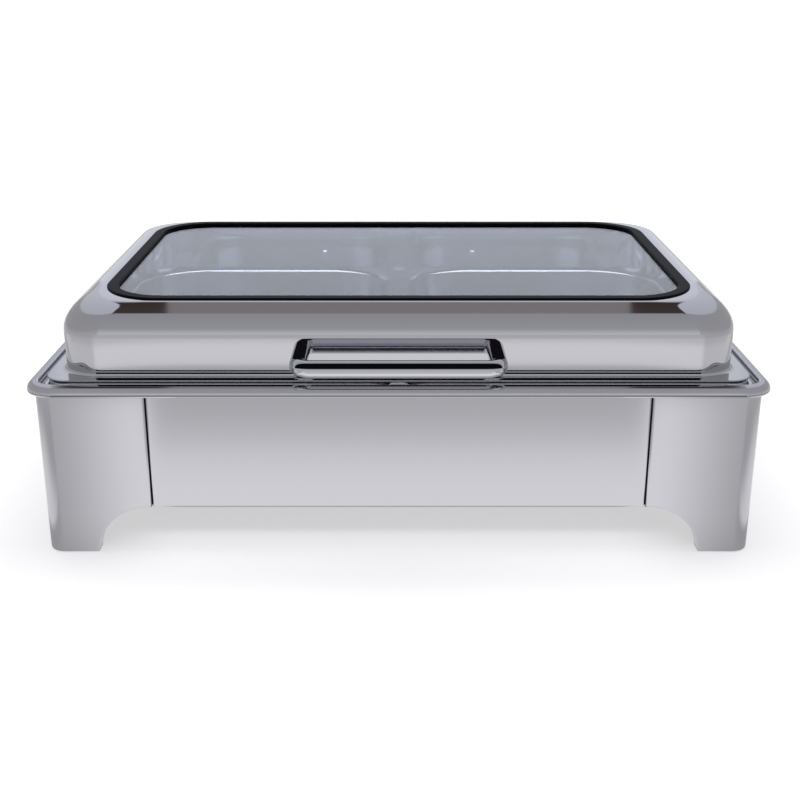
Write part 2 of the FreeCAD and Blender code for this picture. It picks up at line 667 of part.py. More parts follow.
def make_burner(word, x):
    """One fuel burner: cup, cover with a flame hole, and a damper that swivels on a pin."""
    cup = new_body(f"burner_cup_{word}")
    profile = sketch_on(cup, "XZ_Plane", f"cup_profile_{word}")
    lip = burner_wall * 2
    inner = burner_radius - burner_wall
    draw_polygon(profile, [
        (NONE, NONE),
        (burner_radius, NONE),
        (burner_radius, burner_height),
        (inner - lip, burner_height),
        (inner - lip, burner_height - burner_wall),
        (inner, burner_height - burner_wall),
        (inner, burner_wall),
        (NONE, burner_wall),
    ])
    revolve(cup, profile)
    round_edges(cup, burner_wall * 1.5, flat_at(0))
    node(place(cup, x, NONE, shelf_top))

    cover = new_body(f"burner_cover_{word}")
    profile = sketch_on(cover, "XZ_Plane", f"cover_profile_{word}")
    skirt = burner_radius + burner_fit
    draw_polygon(profile, [
        (flame_hole, NONE),
        (skirt, NONE),
        (skirt, -cover_skirt),
        (skirt + burner_wall, -cover_skirt),
        (skirt + burner_wall, burner_wall),
        (flame_hole, burner_wall),
    ])
    revolve(cover, profile)
    outer = (skirt + burner_wall).value
    round_edges(cover, burner_wall, lambda box: same(box.ZMin, burner_wall.value)
                and same(box.XMax, outer) and box.ZLength < FLAT)
    hole = sketch_on(cover, "XY_Plane", f"cover_pin_hole_{word}", NONE, damper_reach, burner_wall)
    draw_circles(hole, damper_pin_radius + hinge_fit)
    pocket(cover, hole, burner_wall * 2)
    node(place(cover, x, NONE, cup_top))

    level = cup_top + burner_wall + damper_gap
    damper = new_body(f"burner_damper_{word}")
    disc = sketch_on(damper, "XY_Plane", f"damper_disc_{word}")
    draw_circles(disc, damper_radius)
    pad(damper, disc, burner_wall)
    neck = sketch_on(damper, "XY_Plane", f"damper_neck_{word}")
    half = damper_pin_radius * 3
    draw_polygon(neck, [(-half, NONE), (half, NONE), (half, damper_reach), (-half, damper_reach)])
    pad(damper, neck, burner_wall)
    ear = sketch_on(damper, "XY_Plane", f"damper_ear_{word}", NONE, damper_reach)
    draw_circles(ear, damper_pin_radius * 3)
    pad(damper, ear, burner_wall)
    hole = sketch_on(damper, "XY_Plane", f"damper_bore_{word}", NONE, damper_reach, burner_wall)
    draw_circles(hole, damper_pin_radius + hinge_fit)
    pocket(damper, hole, burner_wall * 2)
    hole = sketch_on(damper, "XY_Plane", f"damper_knob_hole_{word}", NONE, -knob_reach, burner_wall)
    draw_circles(hole, damper_pin_radius)
    pocket(damper, hole, burner_wall * 2)
    node(place(damper, x, NONE, level))

    knob = new_body(f"damper_knob_{word}")
    profile = sketch_on(knob, "XZ_Plane", f"knob_profile_{word}")
    draw_polygon(profile, [
        (NONE, -burner_wall),
        (damper_pin_radius, -burner_wall),
        (damper_pin_radius, NONE),
        (knob_radius * 0.6, NONE),
        (knob_radius * 0.6, knob_height * 0.4),
        (knob_radius, knob_height * 0.55),
        (knob_radius, knob_height * 0.85),
        (knob_radius * 0.7, knob_height),
        (NONE, knob_height),
    ])
    revolve(knob, profile)
    node(place(knob, x, -knob_reach, level + burner_wall))

    pin = new_body(f"damper_pin_{word}")
    profile = sketch_on(pin, "XZ_Plane", f"damper_pin_profile_{word}")
    top = burner_wall * 2 + damper_gap * 2
    draw_polygon(profile, [
        (NONE, -burner_wall),
        (damper_pin_radius * 2, -burner_wall),
        (damper_pin_radius * 2, NONE),
        (damper_pin_radius, NONE),
        (damper_pin_radius, top),
        (damper_pin_radius * 2, top),
        (damper_pin_radius * 1.4, top + burner_wall),
        (NONE, top + burner_wall),
    ])
    revolve(pin, profile)
    node(place(pin, x, damper_reach, cup_top))


def make_water_pan():
    """Rolled rim, drip channel and ledge round a deep basin, all drawn from one sheet."""
    body = new_body("water_pan")
    ledge = sketch_on(body, "XY_Plane", "pan_ledge", NONE, NONE, ledge_top)
    draw_rounded(ledge, channel_outer_width, channel_outer_depth, channel_corner)
    pad(body, ledge, ledge_thickness, flip=True)
    bead = sketch_on(body, "XY_Plane", "pan_bead", NONE, NONE, stand_height)
    draw_rounded(bead, rim_width, rim_depth, rim_corner, "_out")
    draw_rounded(bead, channel_outer_width, channel_outer_depth, channel_corner, "_in")
    pad(body, bead, rim_height)
    channel = sketch_on(body, "XY_Plane", "pan_channel", NONE, NONE, ledge_top)
    draw_rounded(channel, channel_outer_width, channel_outer_depth, channel_corner, "_out")
    draw_rounded(channel, ledge_outer_width, ledge_outer_depth, ledge_corner, "_in")
    pocket(body, channel, channel_depth)
    basin = sketch_on(body, "XY_Plane", "pan_basin", NONE, NONE, ledge_top - ledge_thickness)
    draw_rounded(basin, basin_width, basin_breadth, basin_corner)
    pad(body, basin, basin_depth - ledge_thickness, flip=True)
    inside = sketch_on(body, "XY_Plane", "pan_inside", NONE, NONE, ledge_top)
    wall = pan_sheet * 2
    draw_rounded(inside, basin_width - wall, basin_breadth - wall, basin_corner - pan_sheet)
    pocket(body, inside, basin_depth - pan_sheet)
    bottom = ledge_top - basin_depth
    round_edges(body, basin_round - pan_sheet, flat_at(bottom + pan_sheet))
    round_edges(body, basin_round, flat_at(bottom))
    round_edges(body, rim_round, is_bead_crown)
    round_edges(body, rim_turn_in, is_bead_turn)
    return node(body)


def is_on_rim(box, width, depth):
    """Edges that reach as far out as a rectangle of the rim, told by either of its half sizes."""
    touches_x = same(max(abs(box.XMin), abs(box.XMax)), width.value / 2)
    touches_y = same(max(abs(box.YMin), abs(box.YMax)), depth.value / 2)
    return same(box.ZMin, box.ZMax) and (touches_x or touches_y)


def is_bead_crown(box):
    """The rolled rim's outer top edge."""
    return same(box.ZMin, rim_top.value) and is_on_rim(box, rim_width, rim_depth)


def is_bead_turn(box):
    """The rolled rim's outer bottom and inner top edges."""
    outer_bottom = same(box.ZMin, stand_height.value) and is_on_rim(box, rim_width, rim_depth)
    inner = is_on_rim(box, channel_outer_width, channel_outer_depth)
    return outer_bottom or (same(box.ZMin, rim_top.value) and inner)


def make_support_bar():
    """An upturned channel across the water pan; the two food pans meet on it."""
    body = new_body("pan_support_bar")
    half = bar_width / 2
    sheet_size = pan_sheet
    profile = sketch_on(body, "XZ_Plane", "bar_profile", NONE, ledge_top)
    draw_polygon(profile, [
        (-half, NONE),
        (half, NONE),
        (half, -bar_depth),
        (half - sheet_size, -bar_depth),
        (half - sheet_size, -sheet_size),
        (sheet_size - half, -sheet_size),
        (sheet_size - half, -bar_depth),
        (-half, -bar_depth),
    ])
    pad(body, profile, basin_breadth - pan_sheet * 2, both=True)
    top = ledge_top.value
    round_edges(body, pan_sheet, lambda box: box.YLength > 1 and same(box.ZMin, top))
    return node(body)


def make_food_pan():
    """The right food pan: flange with a rolled edge, and a drawn basin with sloping walls."""
    body = new_body("food_pan_right")
    flange_x = (food_gap + food_flange_width) / 2
    mouth_width = food_flange_width - food_inner_rim - food_outer_rim
    mouth_depth = food_flange_depth - food_end_rim * 2
    mouth_x = food_gap / 2 + food_inner_rim + mouth_width / 2
    edge = sketch_on(body, "XY_Plane", "flange_edge", flange_x, NONE, ledge_top)
    draw_rounded(edge, food_flange_width, food_flange_depth, food_flange_corner)
    pad(body, edge, food_flange_height)
    under = sketch_on(body, "XY_Plane", "flange_under", flange_x, NONE, ledge_top)
    both = food_edge * 2
    draw_rounded(under, food_flange_width - both, food_flange_depth - both,
                 food_flange_corner - food_edge)
    pocket(body, under, food_flange_height - food_sheet, flip=True)
    outside = sketch_on(body, "XY_Plane", "basin_outside", mouth_x, NONE, food_top)
    wall = food_sheet * 2
    draw_rounded(outside, mouth_width + wall, mouth_depth + wall, food_corner + food_sheet)
    basin = pad(body, outside, food_depth, flip=True)
    bind(basin, "TaperAngle", -food_draft)
    inside = sketch_on(body, "XY_Plane", "basin_inside", mouth_x, NONE, food_top)
    draw_rounded(inside, mouth_width, mouth_depth, food_corner)
    hollow = pocket(body, inside, food_depth - food_sheet)
    bind(hollow, "TaperAngle", -food_draft)
    bottom = food_top - food_depth
    round_edges(body, food_round - food_sheet, flat_at(bottom + food_sheet))
    round_edges(body, food_round, flat_at(bottom))
    round_edges(body, food_lip - food_sheet, is_mouth_edge(food_top - food_sheet))
    round_edges(body, food_lip, is_mouth_edge(food_top))
    round_edges(body, food_edge_round, is_flange_outline)
    return node(body)


def is_mouth_edge(level):
    """Level edges round the pan's mouth, which stay clear of the flange's rolled edge."""
    at_level = flat_at(level)
    inner = food_gap.value / 2 + food_edge.value + FLAT
    outer = food_gap.value / 2 + food_flange_width.value - food_edge.value - FLAT
    end = food_flange_depth.value / 2 - food_edge.value - FLAT
    return lambda box: (at_level(box) and box.XMin > inner and box.XMax < outer
                        and box.YMin > -end and box.YMax < end)


def is_flange_outline(box):
    """The flange's top edge along its outline, told from the edge of the pan's mouth."""
    left = food_gap.value / 2
    right = left + food_flange_width.value
    end = food_flange_depth.value / 2
    touches_x = same(box.XMin, left) or same(box.XMax, right)
    touches_y = same(box.YMin, -end) or same(box.YMax, end)
    at_top = same(box.ZMin, food_top.value) and same(box.ZMax, food_top.value)
    return at_top and (touches_x or touches_y)


def make_lid():
    """A drawn lid: flange, upright wall, round shoulder and a flat top cut for the window."""
    body = new_body("lid_shell")
    outline = sketch_on(body, "XY_Plane", "lid_outline", NONE, NONE, lid_bottom)
    draw_rounded(outline, lid_width, lid_depth, lid_corner)
    pad(body, outline, lid_rise + lid_flange_thickness)
    round_edges(body, lid_shoulder, flat_at(lid_top))
    shell(body, lid_sheet, flat_at(lid_bottom))
    flange = sketch_on(body, "XY_Plane", "lid_flange", NONE, NONE, lid_bottom)
    draw_rounded(flange, lid_flange_width, lid_flange_depth, lid_flange_corner, "_out")
    wall = lid_sheet
    draw_rounded(flange, lid_width - wall, lid_depth - wall, lid_corner - wall / 2, "_in")
    pad(body, flange, lid_flange_thickness)
    half_x = lid_width.value / 2 + FLAT
    half_y = lid_depth.value / 2 + FLAT
    level = flat_at(lid_flange_top)
    round_edges(body, lid_foot_bend, lambda box: level(box)
                and max(abs(box.XMin), abs(box.XMax)) < half_x
                and max(abs(box.YMin), abs(box.YMax)) < half_y)
    window = sketch_on(body, "XY_Plane", "window_opening", NONE, NONE, lid_top)
    draw_rounded(window, opening_width, opening_depth, opening_corner)
    pocket(body, window, lid_sheet * 2)
    holes = sketch_on(body, "XZ_Plane", "handle_holes", NONE, handle_level, lid_depth / 2)
    half = handle_span / 2
    draw_circles(holes, handle_screw_radius + rivet_slack, (-half, NONE), (half, NONE))
    pocket(body, holes, lid_sheet * 2)
    holes = sketch_on(body, "XZ_Plane", "hinge_holes", NONE, handle_level, -(lid_depth / 2))
    half = hinge_spacing / 2
    draw_circles(holes, hinge_screw_radius + rivet_slack, (-half, NONE), (half, NONE))
    pocket(body, holes, lid_sheet * 2, flip=True)
    return node(body)


def make_gasket():
    """A rubber seal: its outer groove grips the lid's sheet, its inner groove the glass."""
    body = new_body("window_gasket")
    low = lid_top - lid_sheet
    neck = sketch_on(body, "XY_Plane", "seal_neck", NONE, NONE, low)
    draw_rounded(neck, opening_width, opening_depth, opening_corner, "_out")
    draw_rounded(neck, sight_width, sight_depth, sight_corner, "_in")
    pad(body, neck, lid_sheet)
    for name, level, height, flip in (("seal_face", lid_top, gasket_proud, False),
                                      ("seal_lip", low, gasket_lower, True)):
        band = sketch_on(body, "XY_Plane", name, NONE, NONE, level)
        draw_rounded(band, gasket_width, gasket_depth, gasket_corner, "_out")
        draw_rounded(band, sight_width, sight_depth, sight_corner, "_in")
        pad(body, band, height, flip=flip)
    groove = sketch_on(body, "XY_Plane", "glass_groove", NONE, NONE, glass_bottom)
    draw_rounded(groove, glass_width, glass_depth, glass_corner)
    pocket(body, groove, glass_thickness, flip=True)
    round_edges(body, gasket_round, flat_at(seal_top))
    return node(body)


def make_glass():
    body = new_body("window_glass")
    pane = sketch_on(body, "XY_Plane", "glass_pane", NONE, NONE, glass_bottom)
    draw_rounded(pane, glass_width, glass_depth, glass_corner)
    pad(body, pane, glass_thickness)
    return node(body)


def make_handle():
    """A round bar bent to a U, its legs tapped for screws that come through the lid's wall."""
    body = new_body("handle")
    reach = handle_reach.value
    half = handle_span.value / 2
    bend = handle_bend.value
    path = sketch_on(body, "XY_Plane", "handle_path")
    lines = [((-half, 0), (-half, bend - reach)),
             ((bend - half, -reach), (half - bend, -reach)),
             ((half, bend - reach), (half, 0))]
    for start, end in lines:
        path.addGeometry(Part.LineSegment(Vector(*start), Vector(*end)))
    for x, start in ((bend - half, math.pi), (half - bend, math.pi * 1.5)):
        circle = Part.Circle(Vector(x, bend - reach), Vector(0, 0, 1), bend)
        path.addGeometry(Part.ArcOfCircle(circle, start, start + math.pi / 2))
    for first, end_a, second, end_b in ((0, 2, 3, 1), (3, 2, 1, 1), (1, 2, 4, 1), (4, 2, 2, 1)):
        path.addConstraint(Sketcher.Constraint("Tangent", first, end_a, second, end_b))
    path.addConstraint(Sketcher.Constraint("Vertical", 0))
    path.addConstraint(Sketcher.Constraint("Vertical", 2))
    path.addConstraint(Sketcher.Constraint("Equal", 3, 4))
    path.addConstraint(Sketcher.Constraint("PointOnObject", 0, 1, -1))
    path.addConstraint(Sketcher.Constraint("Symmetric", 0, 1, 2, 2, -1, 1))
    datum(path, "bend", "Radius", 3, handle_bend)
    datum(path, "span", "DistanceX", 0, 1, 2, 2, handle_span)
    datum(path, "reach", "DistanceY", 1, 1, 0, 1, handle_reach)
    section = sketch_on(body, "XZ_Plane", "handle_section", -(handle_span / 2))
    draw_circles(section, handle_radius)
    bar = body.newObject("PartDesign::AdditivePipe", "handle_bar")
    bar.Profile = section
    bar.Spine = path
    holes = sketch_on(body, "XZ_Plane", "handle_taps")
    half = handle_span / 2
    draw_circles(holes, handle_screw_radius + rivet_slack, (-half, NONE), (half, NONE))
    pocket(body, holes, handle_screw_grip, flip=True)
    return node(place(body, NONE, -(lid_depth / 2), handle_level))


def make_handle_fasteners():
    """Two screws with washers, put in from inside the lid's front wall."""
    inside = lid_sheet - lid_depth / 2
    under_head = inside + washer_thickness
    length = lid_sheet + washer_thickness + handle_screw_grip - screw_end_gap
    screw = make_screw("handle_screw", handle_screw_radius, length,
                       screw_head_radius, screw_head_height)
    washer = new_body("handle_washer")
    ring = sketch_on(washer, "XY_Plane", "washer_ring")
    draw_circles(ring, washer_radius)
    bore = ring.addGeometry(Part.Circle(Vector(), Vector(0, 0, 1), handle_screw_radius.value))
    ring.addConstraint(Sketcher.Constraint("Coincident", bore, 3, -1, 1))
    datum(ring, "bore", "Radius", bore, handle_screw_radius + rivet_slack)
    pad(washer, ring, washer_thickness)
    spots = [handle_span / 2 * side for side in (-1, 1)]
    copies("handle_screws", screw, [(x, under_head, handle_level, (1, 0, 0), -90) for x in spots])
    copies("handle_washers", washer, [(x, inside, handle_level, (1, 0, 0), -90) for x in spots])


def make_hinge_strap(word, side):
    """Bent strap on the lid's rear wall: upright plate, level arm and a rolled knuckle."""
    body = new_body(f"hinge_strap_{word}")
    wall = lid_depth / 2
    profile = sketch_on(body, "YZ_Plane", f"strap_profile_{word}")
    top = lid_flange_top + strap_rise
    draw_polygon(profile, [
        (wall, strap_under),
        (hinge_y, strap_under),
        (hinge_y, strap_under + strap_sheet),
        (wall + strap_sheet, strap_under + strap_sheet),
        (wall + strap_sheet, top),
        (wall, top),
    ])
    pad(body, profile, strap_width, both=True)
    low = strap_under.value
    at = wall.value
    round_edges(body, strap_sheet, lambda box: box.XLength > 1 and same(box.ZMin, low)
                and same(box.YMin, at) and box.YLength < FLAT)
    knuckle = sketch_on(body, "YZ_Plane", f"knuckle_{word}", hinge_y, hinge_z)
    draw_circles(knuckle, knuckle_radius)
    pad(body, knuckle, strap_width, both=True)
    bore = sketch_on(body, "YZ_Plane", f"knuckle_bore_{word}", hinge_y, hinge_z)
    draw_circles(bore, hinge_bore)
    pocket(body, bore, through=True, both=True)
    hole = sketch_on(body, "XZ_Plane", f"strap_hole_{word}", NONE, handle_level, -wall)
    draw_circles(hole, hinge_screw_radius + rivet_slack)
    pocket(body, hole, strap_sheet * 2)
    return node(place(body, hinge_spacing / 2 * side))


def make_hinge_bracket(word, side):
    """Two ears and a stop web on a plate that is welded to the rolled rim's back."""
    body = new_body(f"hinge_bracket_{word}")
    back = rim_depth / 2
    plate_back = back + ear_sheet
    web_front = hinge_y + knuckle_radius + stop_gap
    web_back = web_front + stop_sheet
    ear = sketch_on(body, "YZ_Plane", f"ear_{word}")
    draw_polygon(ear, [
        (back, stand_height + rim_height / 3),
        (plate_back + ear_sheet, stand_height + rim_height / 3),
        (web_back, rim_top),
        (web_back, hinge_z + stop_high),
        (web_front - knuckle_radius / 2, hinge_z + stop_high),
        (plate_back, hinge_z + knuckle_radius),
        (back, rim_top),
    ])
    pad(body, ear, (ear_offset + ear_sheet) * 2, both=True)
    gap = sketch_on(body, "YZ_Plane", f"ear_gap_{word}")
    beyond_back = web_back + cut_beyond
    beyond_top = hinge_z + stop_high + cut_beyond
    draw_polygon(gap, [
        (plate_back, stand_height),
        (beyond_back, stand_height),
        (beyond_back, hinge_z + stop_low),
        (web_front, hinge_z + stop_low),
        (web_front, beyond_top),
        (back - cut_beyond, beyond_top),
        (back - cut_beyond, rim_top),
        (plate_back, rim_top),
    ])
    pocket(body, gap, ear_offset * 2, both=True)
    bore = sketch_on(body, "YZ_Plane", f"ear_bore_{word}", hinge_y, hinge_z)
    draw_circles(bore, hinge_bore)
    pocket(body, bore, through=True, both=True)
    return node(place(body, hinge_spacing / 2 * side))


def make_hinge_pin(word, side):
    """Pin along X, with a head at each end outside the bracket's ears."""
    body = new_body(f"hinge_pin_{word}")
    half = ear_offset + ear_sheet
    profile = sketch_on(body, "XY_Plane", f"hinge_pin_profile_{word}")
    draw_polygon(profile, [
        (NONE, -(half + pin_head_height)),
        (pin_head_radius, -(half + pin_head_height)),
        (pin_head_radius, -half),
        (hinge_pin_radius, -half),
        (hinge_pin_radius, half),
        (pin_head_radius, half),
        (pin_head_radius, half + pin_head_height),
        (NONE, half + pin_head_height),
    ])
    revolve(body, profile)
    return node(place(body, hinge_spacing / 2 * side, hinge_y, hinge_z, turn=90))


def make_cap_nut():
    """A domed hexagon nut; its origin is on its seat, with the dome up."""
    body = new_body("hinge_cap_nut")
    across = nut_across / 2
    corner = nut_across / math.sqrt(3)
    outline = sketch_on(body, "XY_Plane", "nut_outline")
    draw_polygon(outline, [
        (corner, NONE),
        (corner / 2, across),
        (-(corner / 2), across),
        (-corner, NONE),
        (-(corner / 2), -across),
        (corner / 2, -across),
    ])
    pad(body, outline, nut_height)
    dome = sketch_on(body, "XZ_Plane", "nut_dome", NONE, nut_height)
    radius = across.value * 0.92
    dome.addGeometry(Part.ArcOfCircle(Part.Circle(Vector(), Vector(0, 0, 1), radius), 0, math.pi / 2))
    dome.addGeometry(Part.LineSegment(Vector(0, radius), Vector()))
    dome.addGeometry(Part.LineSegment(Vector(), Vector(radius, 0)))
    for first, second in ((0, 1), (1, 2), (2, 0)):
        dome.addConstraint(Sketcher.Constraint("Coincident", first, 2, second, 1))
    dome.addConstraint(Sketcher.Constraint("Coincident", 0, 3, -1, 1))
    dome.addConstraint(Sketcher.Constraint("Coincident", 1, 2, -1, 1))
    dome.addConstraint(Sketcher.Constraint("Vertical", 1))
    dome.addConstraint(Sketcher.Constraint("Horizontal", 2))
    datum(dome, "dome", "Radius", 0, across * 0.92)
    revolve(body, dome)
    bore = sketch_on(body, "XY_Plane", "nut_bore")
    draw_circles(bore, hinge_screw_radius + rivet_slack)
    pocket(body, bore, nut_bore_depth, flip=True)
    return body


def make_hinge_fasteners():
    """A screw from behind through strap and lid wall, into a cap nut inside the lid."""
    wall = lid_depth / 2
    length = strap_sheet + lid_sheet + nut_bore_depth - screw_end_gap
    screw = make_screw("hinge_screw", hinge_screw_radius, length,
                       hinge_screw_radius * 2, hinge_screw_radius * 1.2)
    nut = make_cap_nut()
    spots = [hinge_spacing / 2 * side for side in (-1, 1)]
    outside = wall + strap_sheet
    copies("hinge_screws", screw, [(x, outside, handle_level, (1, 0, 0), -90) for x in spots])
    copies("hinge_cap_nuts", nut, [(x, wall - lid_sheet, handle_level, (1, 0, 0), 90) for x in spots])


def make_stand():
    leg = make_corner_leg()
    mirrored("leg_front_right", leg, (1, 0, 0))
    rear = mirrored("leg_rear_left", leg, (0, 1, 0))
    mirrored("leg_rear_right", rear, (1, 0, 0))
    make_panel("front_panel", panel_width, NONE, -(stand_depth / 2), 0)
    make_panel("rear_panel", panel_width, NONE, stand_depth / 2, 180)
    make_panel("left_panel", side_panel_width, -(stand_width / 2), NONE, -90, shelf_holes=True)
    make_panel("right_panel", side_panel_width, stand_width / 2, NONE, 90, shelf_holes=True)
    make_seams()
    make_burner_shelf()
    make_shelf_screws()


def make_everything():
    make_stand()
    for side, word in ((-1, "left"), (1, "right")):
        make_burner(word, burner_spacing / 2 * side)
        make_hinge_strap(word, side)
        make_hinge_bracket(word, side)
        make_hinge_pin(word, side)
    make_water_pan()
    make_support_bar()
    mirrored("food_pan_left", make_food_pan(), (1, 0, 0))
    make_lid()
    make_gasket()
    make_glass()
    make_handle()
    make_handle_fasteners()
    make_hinge_fasteners()


def check_document():
    """Stops at a failed feature, a bad shape, or a cut that took nothing away."""
    for thing in doc.Objects:
        if "Invalid" in thing.State or "Error" in thing.State:
            raise RuntimeError(f"{thing.Name} did not build: {thing.getStatusString()}")
        if thing.TypeId in ("PartDesign::Pocket", "PartDesign::Groove"):
            if thing.Shape.Volume > thing.BaseFeature.Shape.Volume - FLAT:
                raise RuntimeError(f"{thing.Name} cuts nothing")
    for piece in nodes:
        if piece.Shape.isNull() or not piece.Shape.isValid():
            raise RuntimeError(f"{piece.Label} has no valid shape")


make_everything()
doc.recompute()
check_document()
os.makedirs("parts", exist_ok=True)
for piece in nodes:
    piece.Shape.exportStep(f"parts/{piece.Label}.step")
    print(piece.Label, len(piece.Shape.Solids), round(piece.Shape.Volume, 1))
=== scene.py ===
# %% [markdown]
# # A chafing dish in stainless steel
#
# The dish is a pressed steel stand, a water pan with a rolled rim, two food pans and a polished
# lid with a window. The engineering model gives every piece its size and place. This lesson
# gives each piece its finish and, where a smooth surface matters, a cleaner mesh.
#
# The first cell loads that model as a frame.

# %% Load the frame
import bmesh
import bpy
import json
import math
from itertools import product
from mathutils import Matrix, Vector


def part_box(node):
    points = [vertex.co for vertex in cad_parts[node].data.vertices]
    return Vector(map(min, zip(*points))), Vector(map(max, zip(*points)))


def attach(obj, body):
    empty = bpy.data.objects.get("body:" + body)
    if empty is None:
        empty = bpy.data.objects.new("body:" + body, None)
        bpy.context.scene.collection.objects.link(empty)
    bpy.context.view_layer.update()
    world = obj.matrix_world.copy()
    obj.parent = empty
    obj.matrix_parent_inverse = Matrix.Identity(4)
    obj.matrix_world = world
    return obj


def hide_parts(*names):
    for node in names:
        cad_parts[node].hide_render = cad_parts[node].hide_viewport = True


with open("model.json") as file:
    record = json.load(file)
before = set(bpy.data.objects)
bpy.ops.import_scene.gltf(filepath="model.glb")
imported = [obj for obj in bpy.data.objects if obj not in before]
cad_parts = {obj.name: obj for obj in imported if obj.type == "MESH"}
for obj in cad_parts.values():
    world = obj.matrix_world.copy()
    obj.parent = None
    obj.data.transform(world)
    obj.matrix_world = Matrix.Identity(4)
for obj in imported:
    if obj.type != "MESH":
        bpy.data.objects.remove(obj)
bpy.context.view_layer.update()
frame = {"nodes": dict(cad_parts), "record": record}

print("nodes in the frame:", len(frame["nodes"]))

# %% [markdown]
# ## The camera
#
# The dish is seen from the front and a little above, so that the window shows the pans inside.
# A camera could be aimed with a constraint, but a plain place, tilt and focal length are easier
# to check against a photograph, so the three are given as plain values. The lens is a short telephoto
# one, which keeps the stand's sides nearly upright. The shift puts the dish's middle 1.4 of 800
# pixels to the left of the picture's middle.

# %% Camera
# By how many degrees the dish's usual view looks down
USUAL_TILT = 19.725
camera_data = bpy.data.cameras.new("Camera")
camera_data.lens = 53.88
camera_data.sensor_width = 36
camera_data.shift_x = 0.00175
camera_data.clip_start = 0.01
camera_data.clip_end = 200
camera = bpy.data.objects.new("Camera", camera_data)
camera.location = (0, -1.1308, 0.4679)
camera.rotation_euler = (math.radians(90 - USUAL_TILT), 0, 0)
bpy.context.scene.collection.objects.link(camera)
bpy.context.scene.camera = camera
print("camera height in mm:", round(camera.location.z * 1000))

# %% [markdown]
# ## Colours and nodes
#
# A colour picked from a picture is an sRGB value, and the renderer works with linear light. One
# function turns a hex value to linear. A second one adds a node to any tree, sets its
# properties and fills its inputs, either with a value or with a link from another node. Writing
# these two once keeps every finish below to a few lines.

# %% Colour and node helpers
# The kind of node that is used most, under a short name
MATH = "ShaderNodeMath"


def linear(hex_value):
    """A colour as #RRGGBB in sRGB, turned to linear RGBA."""
    parts = [int(hex_value[k:k + 2], 16) / 255 for k in (1, 3, 5)]
    steps = [c / 12.92 if c <= 0.04045 else ((c + 0.055) / 1.055) ** 2.4 for c in parts]
    return (*steps, 1.0)


def add_node(tree, kind, values=None, **settings):
    """Adds one node. Settings are its properties, and values its inputs, numbers or links."""
    node = tree.nodes.new(kind)
    for name, value in settings.items():
        setattr(node, name, value)
    for name, value in (values or {}).items():
        if isinstance(value, bpy.types.NodeSocket):
            tree.links.new(value, node.inputs[name])
        else:
            node.inputs[name].default_value = value
    return node


print("linear value of a mid grey:", round(linear("#808080")[0], 3))

# %% [markdown]
# ## Metal and rubber finishes
#
# All the metal here is stainless steel, and only its surface differs. The maker rolls, brushes
# or polishes the same alloy, so each finish keeps one family of base colours and a metallic
# value of 1, and changes the roughness and the fine relief. A relief could be an image, but
# noise stretched along one axis gives brush lines of a known spacing without any picture.
#
# `plain_material` sets the values that are the same all over a surface on the shader's own
# sockets, and `relief` adds a fine unevenness from noise, whose spacing and depth are given in
# millimetres. `steel` uses both. Its grain is squeezed by a Mapping node, so the brush lines run
# along X. Real brush lines are about 0.1 mm apart, too fine to show here, so they are drawn 0.7
# to 1 mm apart.

# %% Steel
GRAIN_SQUEEZE = (0.02, 1.0, 1.0)


def plain_material(name, values):
    """A material whose shader has the given values on its own sockets."""
    material = bpy.data.materials.new(name)
    material.use_nodes = True
    shader = material.node_tree.nodes["Principled BSDF"]
    for socket, value in values.items():
        shader.inputs[socket].default_value = value
    return material, material.node_tree, shader


def relief(tree, place, spacing_mm, depth_mm, detail, over=None):
    """A fine relief, laid over another one where there is one. It returns the new normal."""
    noise = add_node(tree, "ShaderNodeTexNoise", {
        "Vector": place, "Scale": 1000 / spacing_mm, "Detail": detail})
    bump = add_node(tree, "ShaderNodeBump", {
        "Height": noise.outputs["Fac"], "Strength": 1.0, "Distance": depth_mm / 1000})
    if over is not None:
        tree.links.new(over, bump.inputs["Normal"])
    return bump.outputs["Normal"]


def steel(name, colour, roughness, grain_mm=0.0, grain=0.0, waves_mm=0.0, waves=0.0):
    """Stainless steel, with brush lines along X and slow waves where the sheet isn't quite flat."""
    material, tree, shader = plain_material(name, {
        "Base Color": linear(colour), "Metallic": 1.0, "Roughness": roughness})
    place = add_node(tree, "ShaderNodeTexCoord").outputs["Object"]
    normal = None
    if waves:
        normal = relief(tree, place, waves_mm, waves, detail=1.0)
    if grain:
        squeeze = add_node(tree, "ShaderNodeMapping", {"Vector": place, "Scale": GRAIN_SQUEEZE})
        normal = relief(tree, squeeze.outputs["Vector"], grain_mm, grain, detail=2.0, over=normal)
    if normal is not None:
        tree.links.new(normal, shader.inputs["Normal"])
    return material


finishes = {}
# Cold-rolled stainless steel, satin brushed: it spreads a reflection to a soft gradient
finishes["satin_steel"] = steel("satin stainless steel", "#C6C6CB", 0.13, grain_mm=0.7, grain=0.003)
# Cold-rolled stainless steel, mirror polished: sharp reflections, a little wavy where drawn
finishes["mirror_steel"] = steel(
    "mirror polished stainless steel", "#C5C5CA", 0.04, waves_mm=60, waves=0.02)
# Bent stainless steel bar, buffed to a perfect mirror: the handle's finish
finishes["buffed_steel"] = steel("buffed stainless steel bar", "#C8C8CD", 0.0)
# Drawn stainless steel, bright: the water pan's finish, a little softer than the lid's
finishes["pan_steel"] = steel("bright drawn stainless steel", "#C8C8CE", 0.06, waves_mm=45, waves=0.02)
# Drawn stainless steel, degreased and dull bright: the food pans' finish
finishes["food_pan_steel"] = steel(
    "dull bright drawn stainless steel", "#BCC0CA", 0.2, waves_mm=45, waves=0.03)
# Mill-finished stainless steel, as it leaves the rolls: dull and grey
finishes["shelf_steel"] = steel("mill finish stainless steel", "#B4B5B9", 0.42, grain_mm=1.0, grain=0.004)
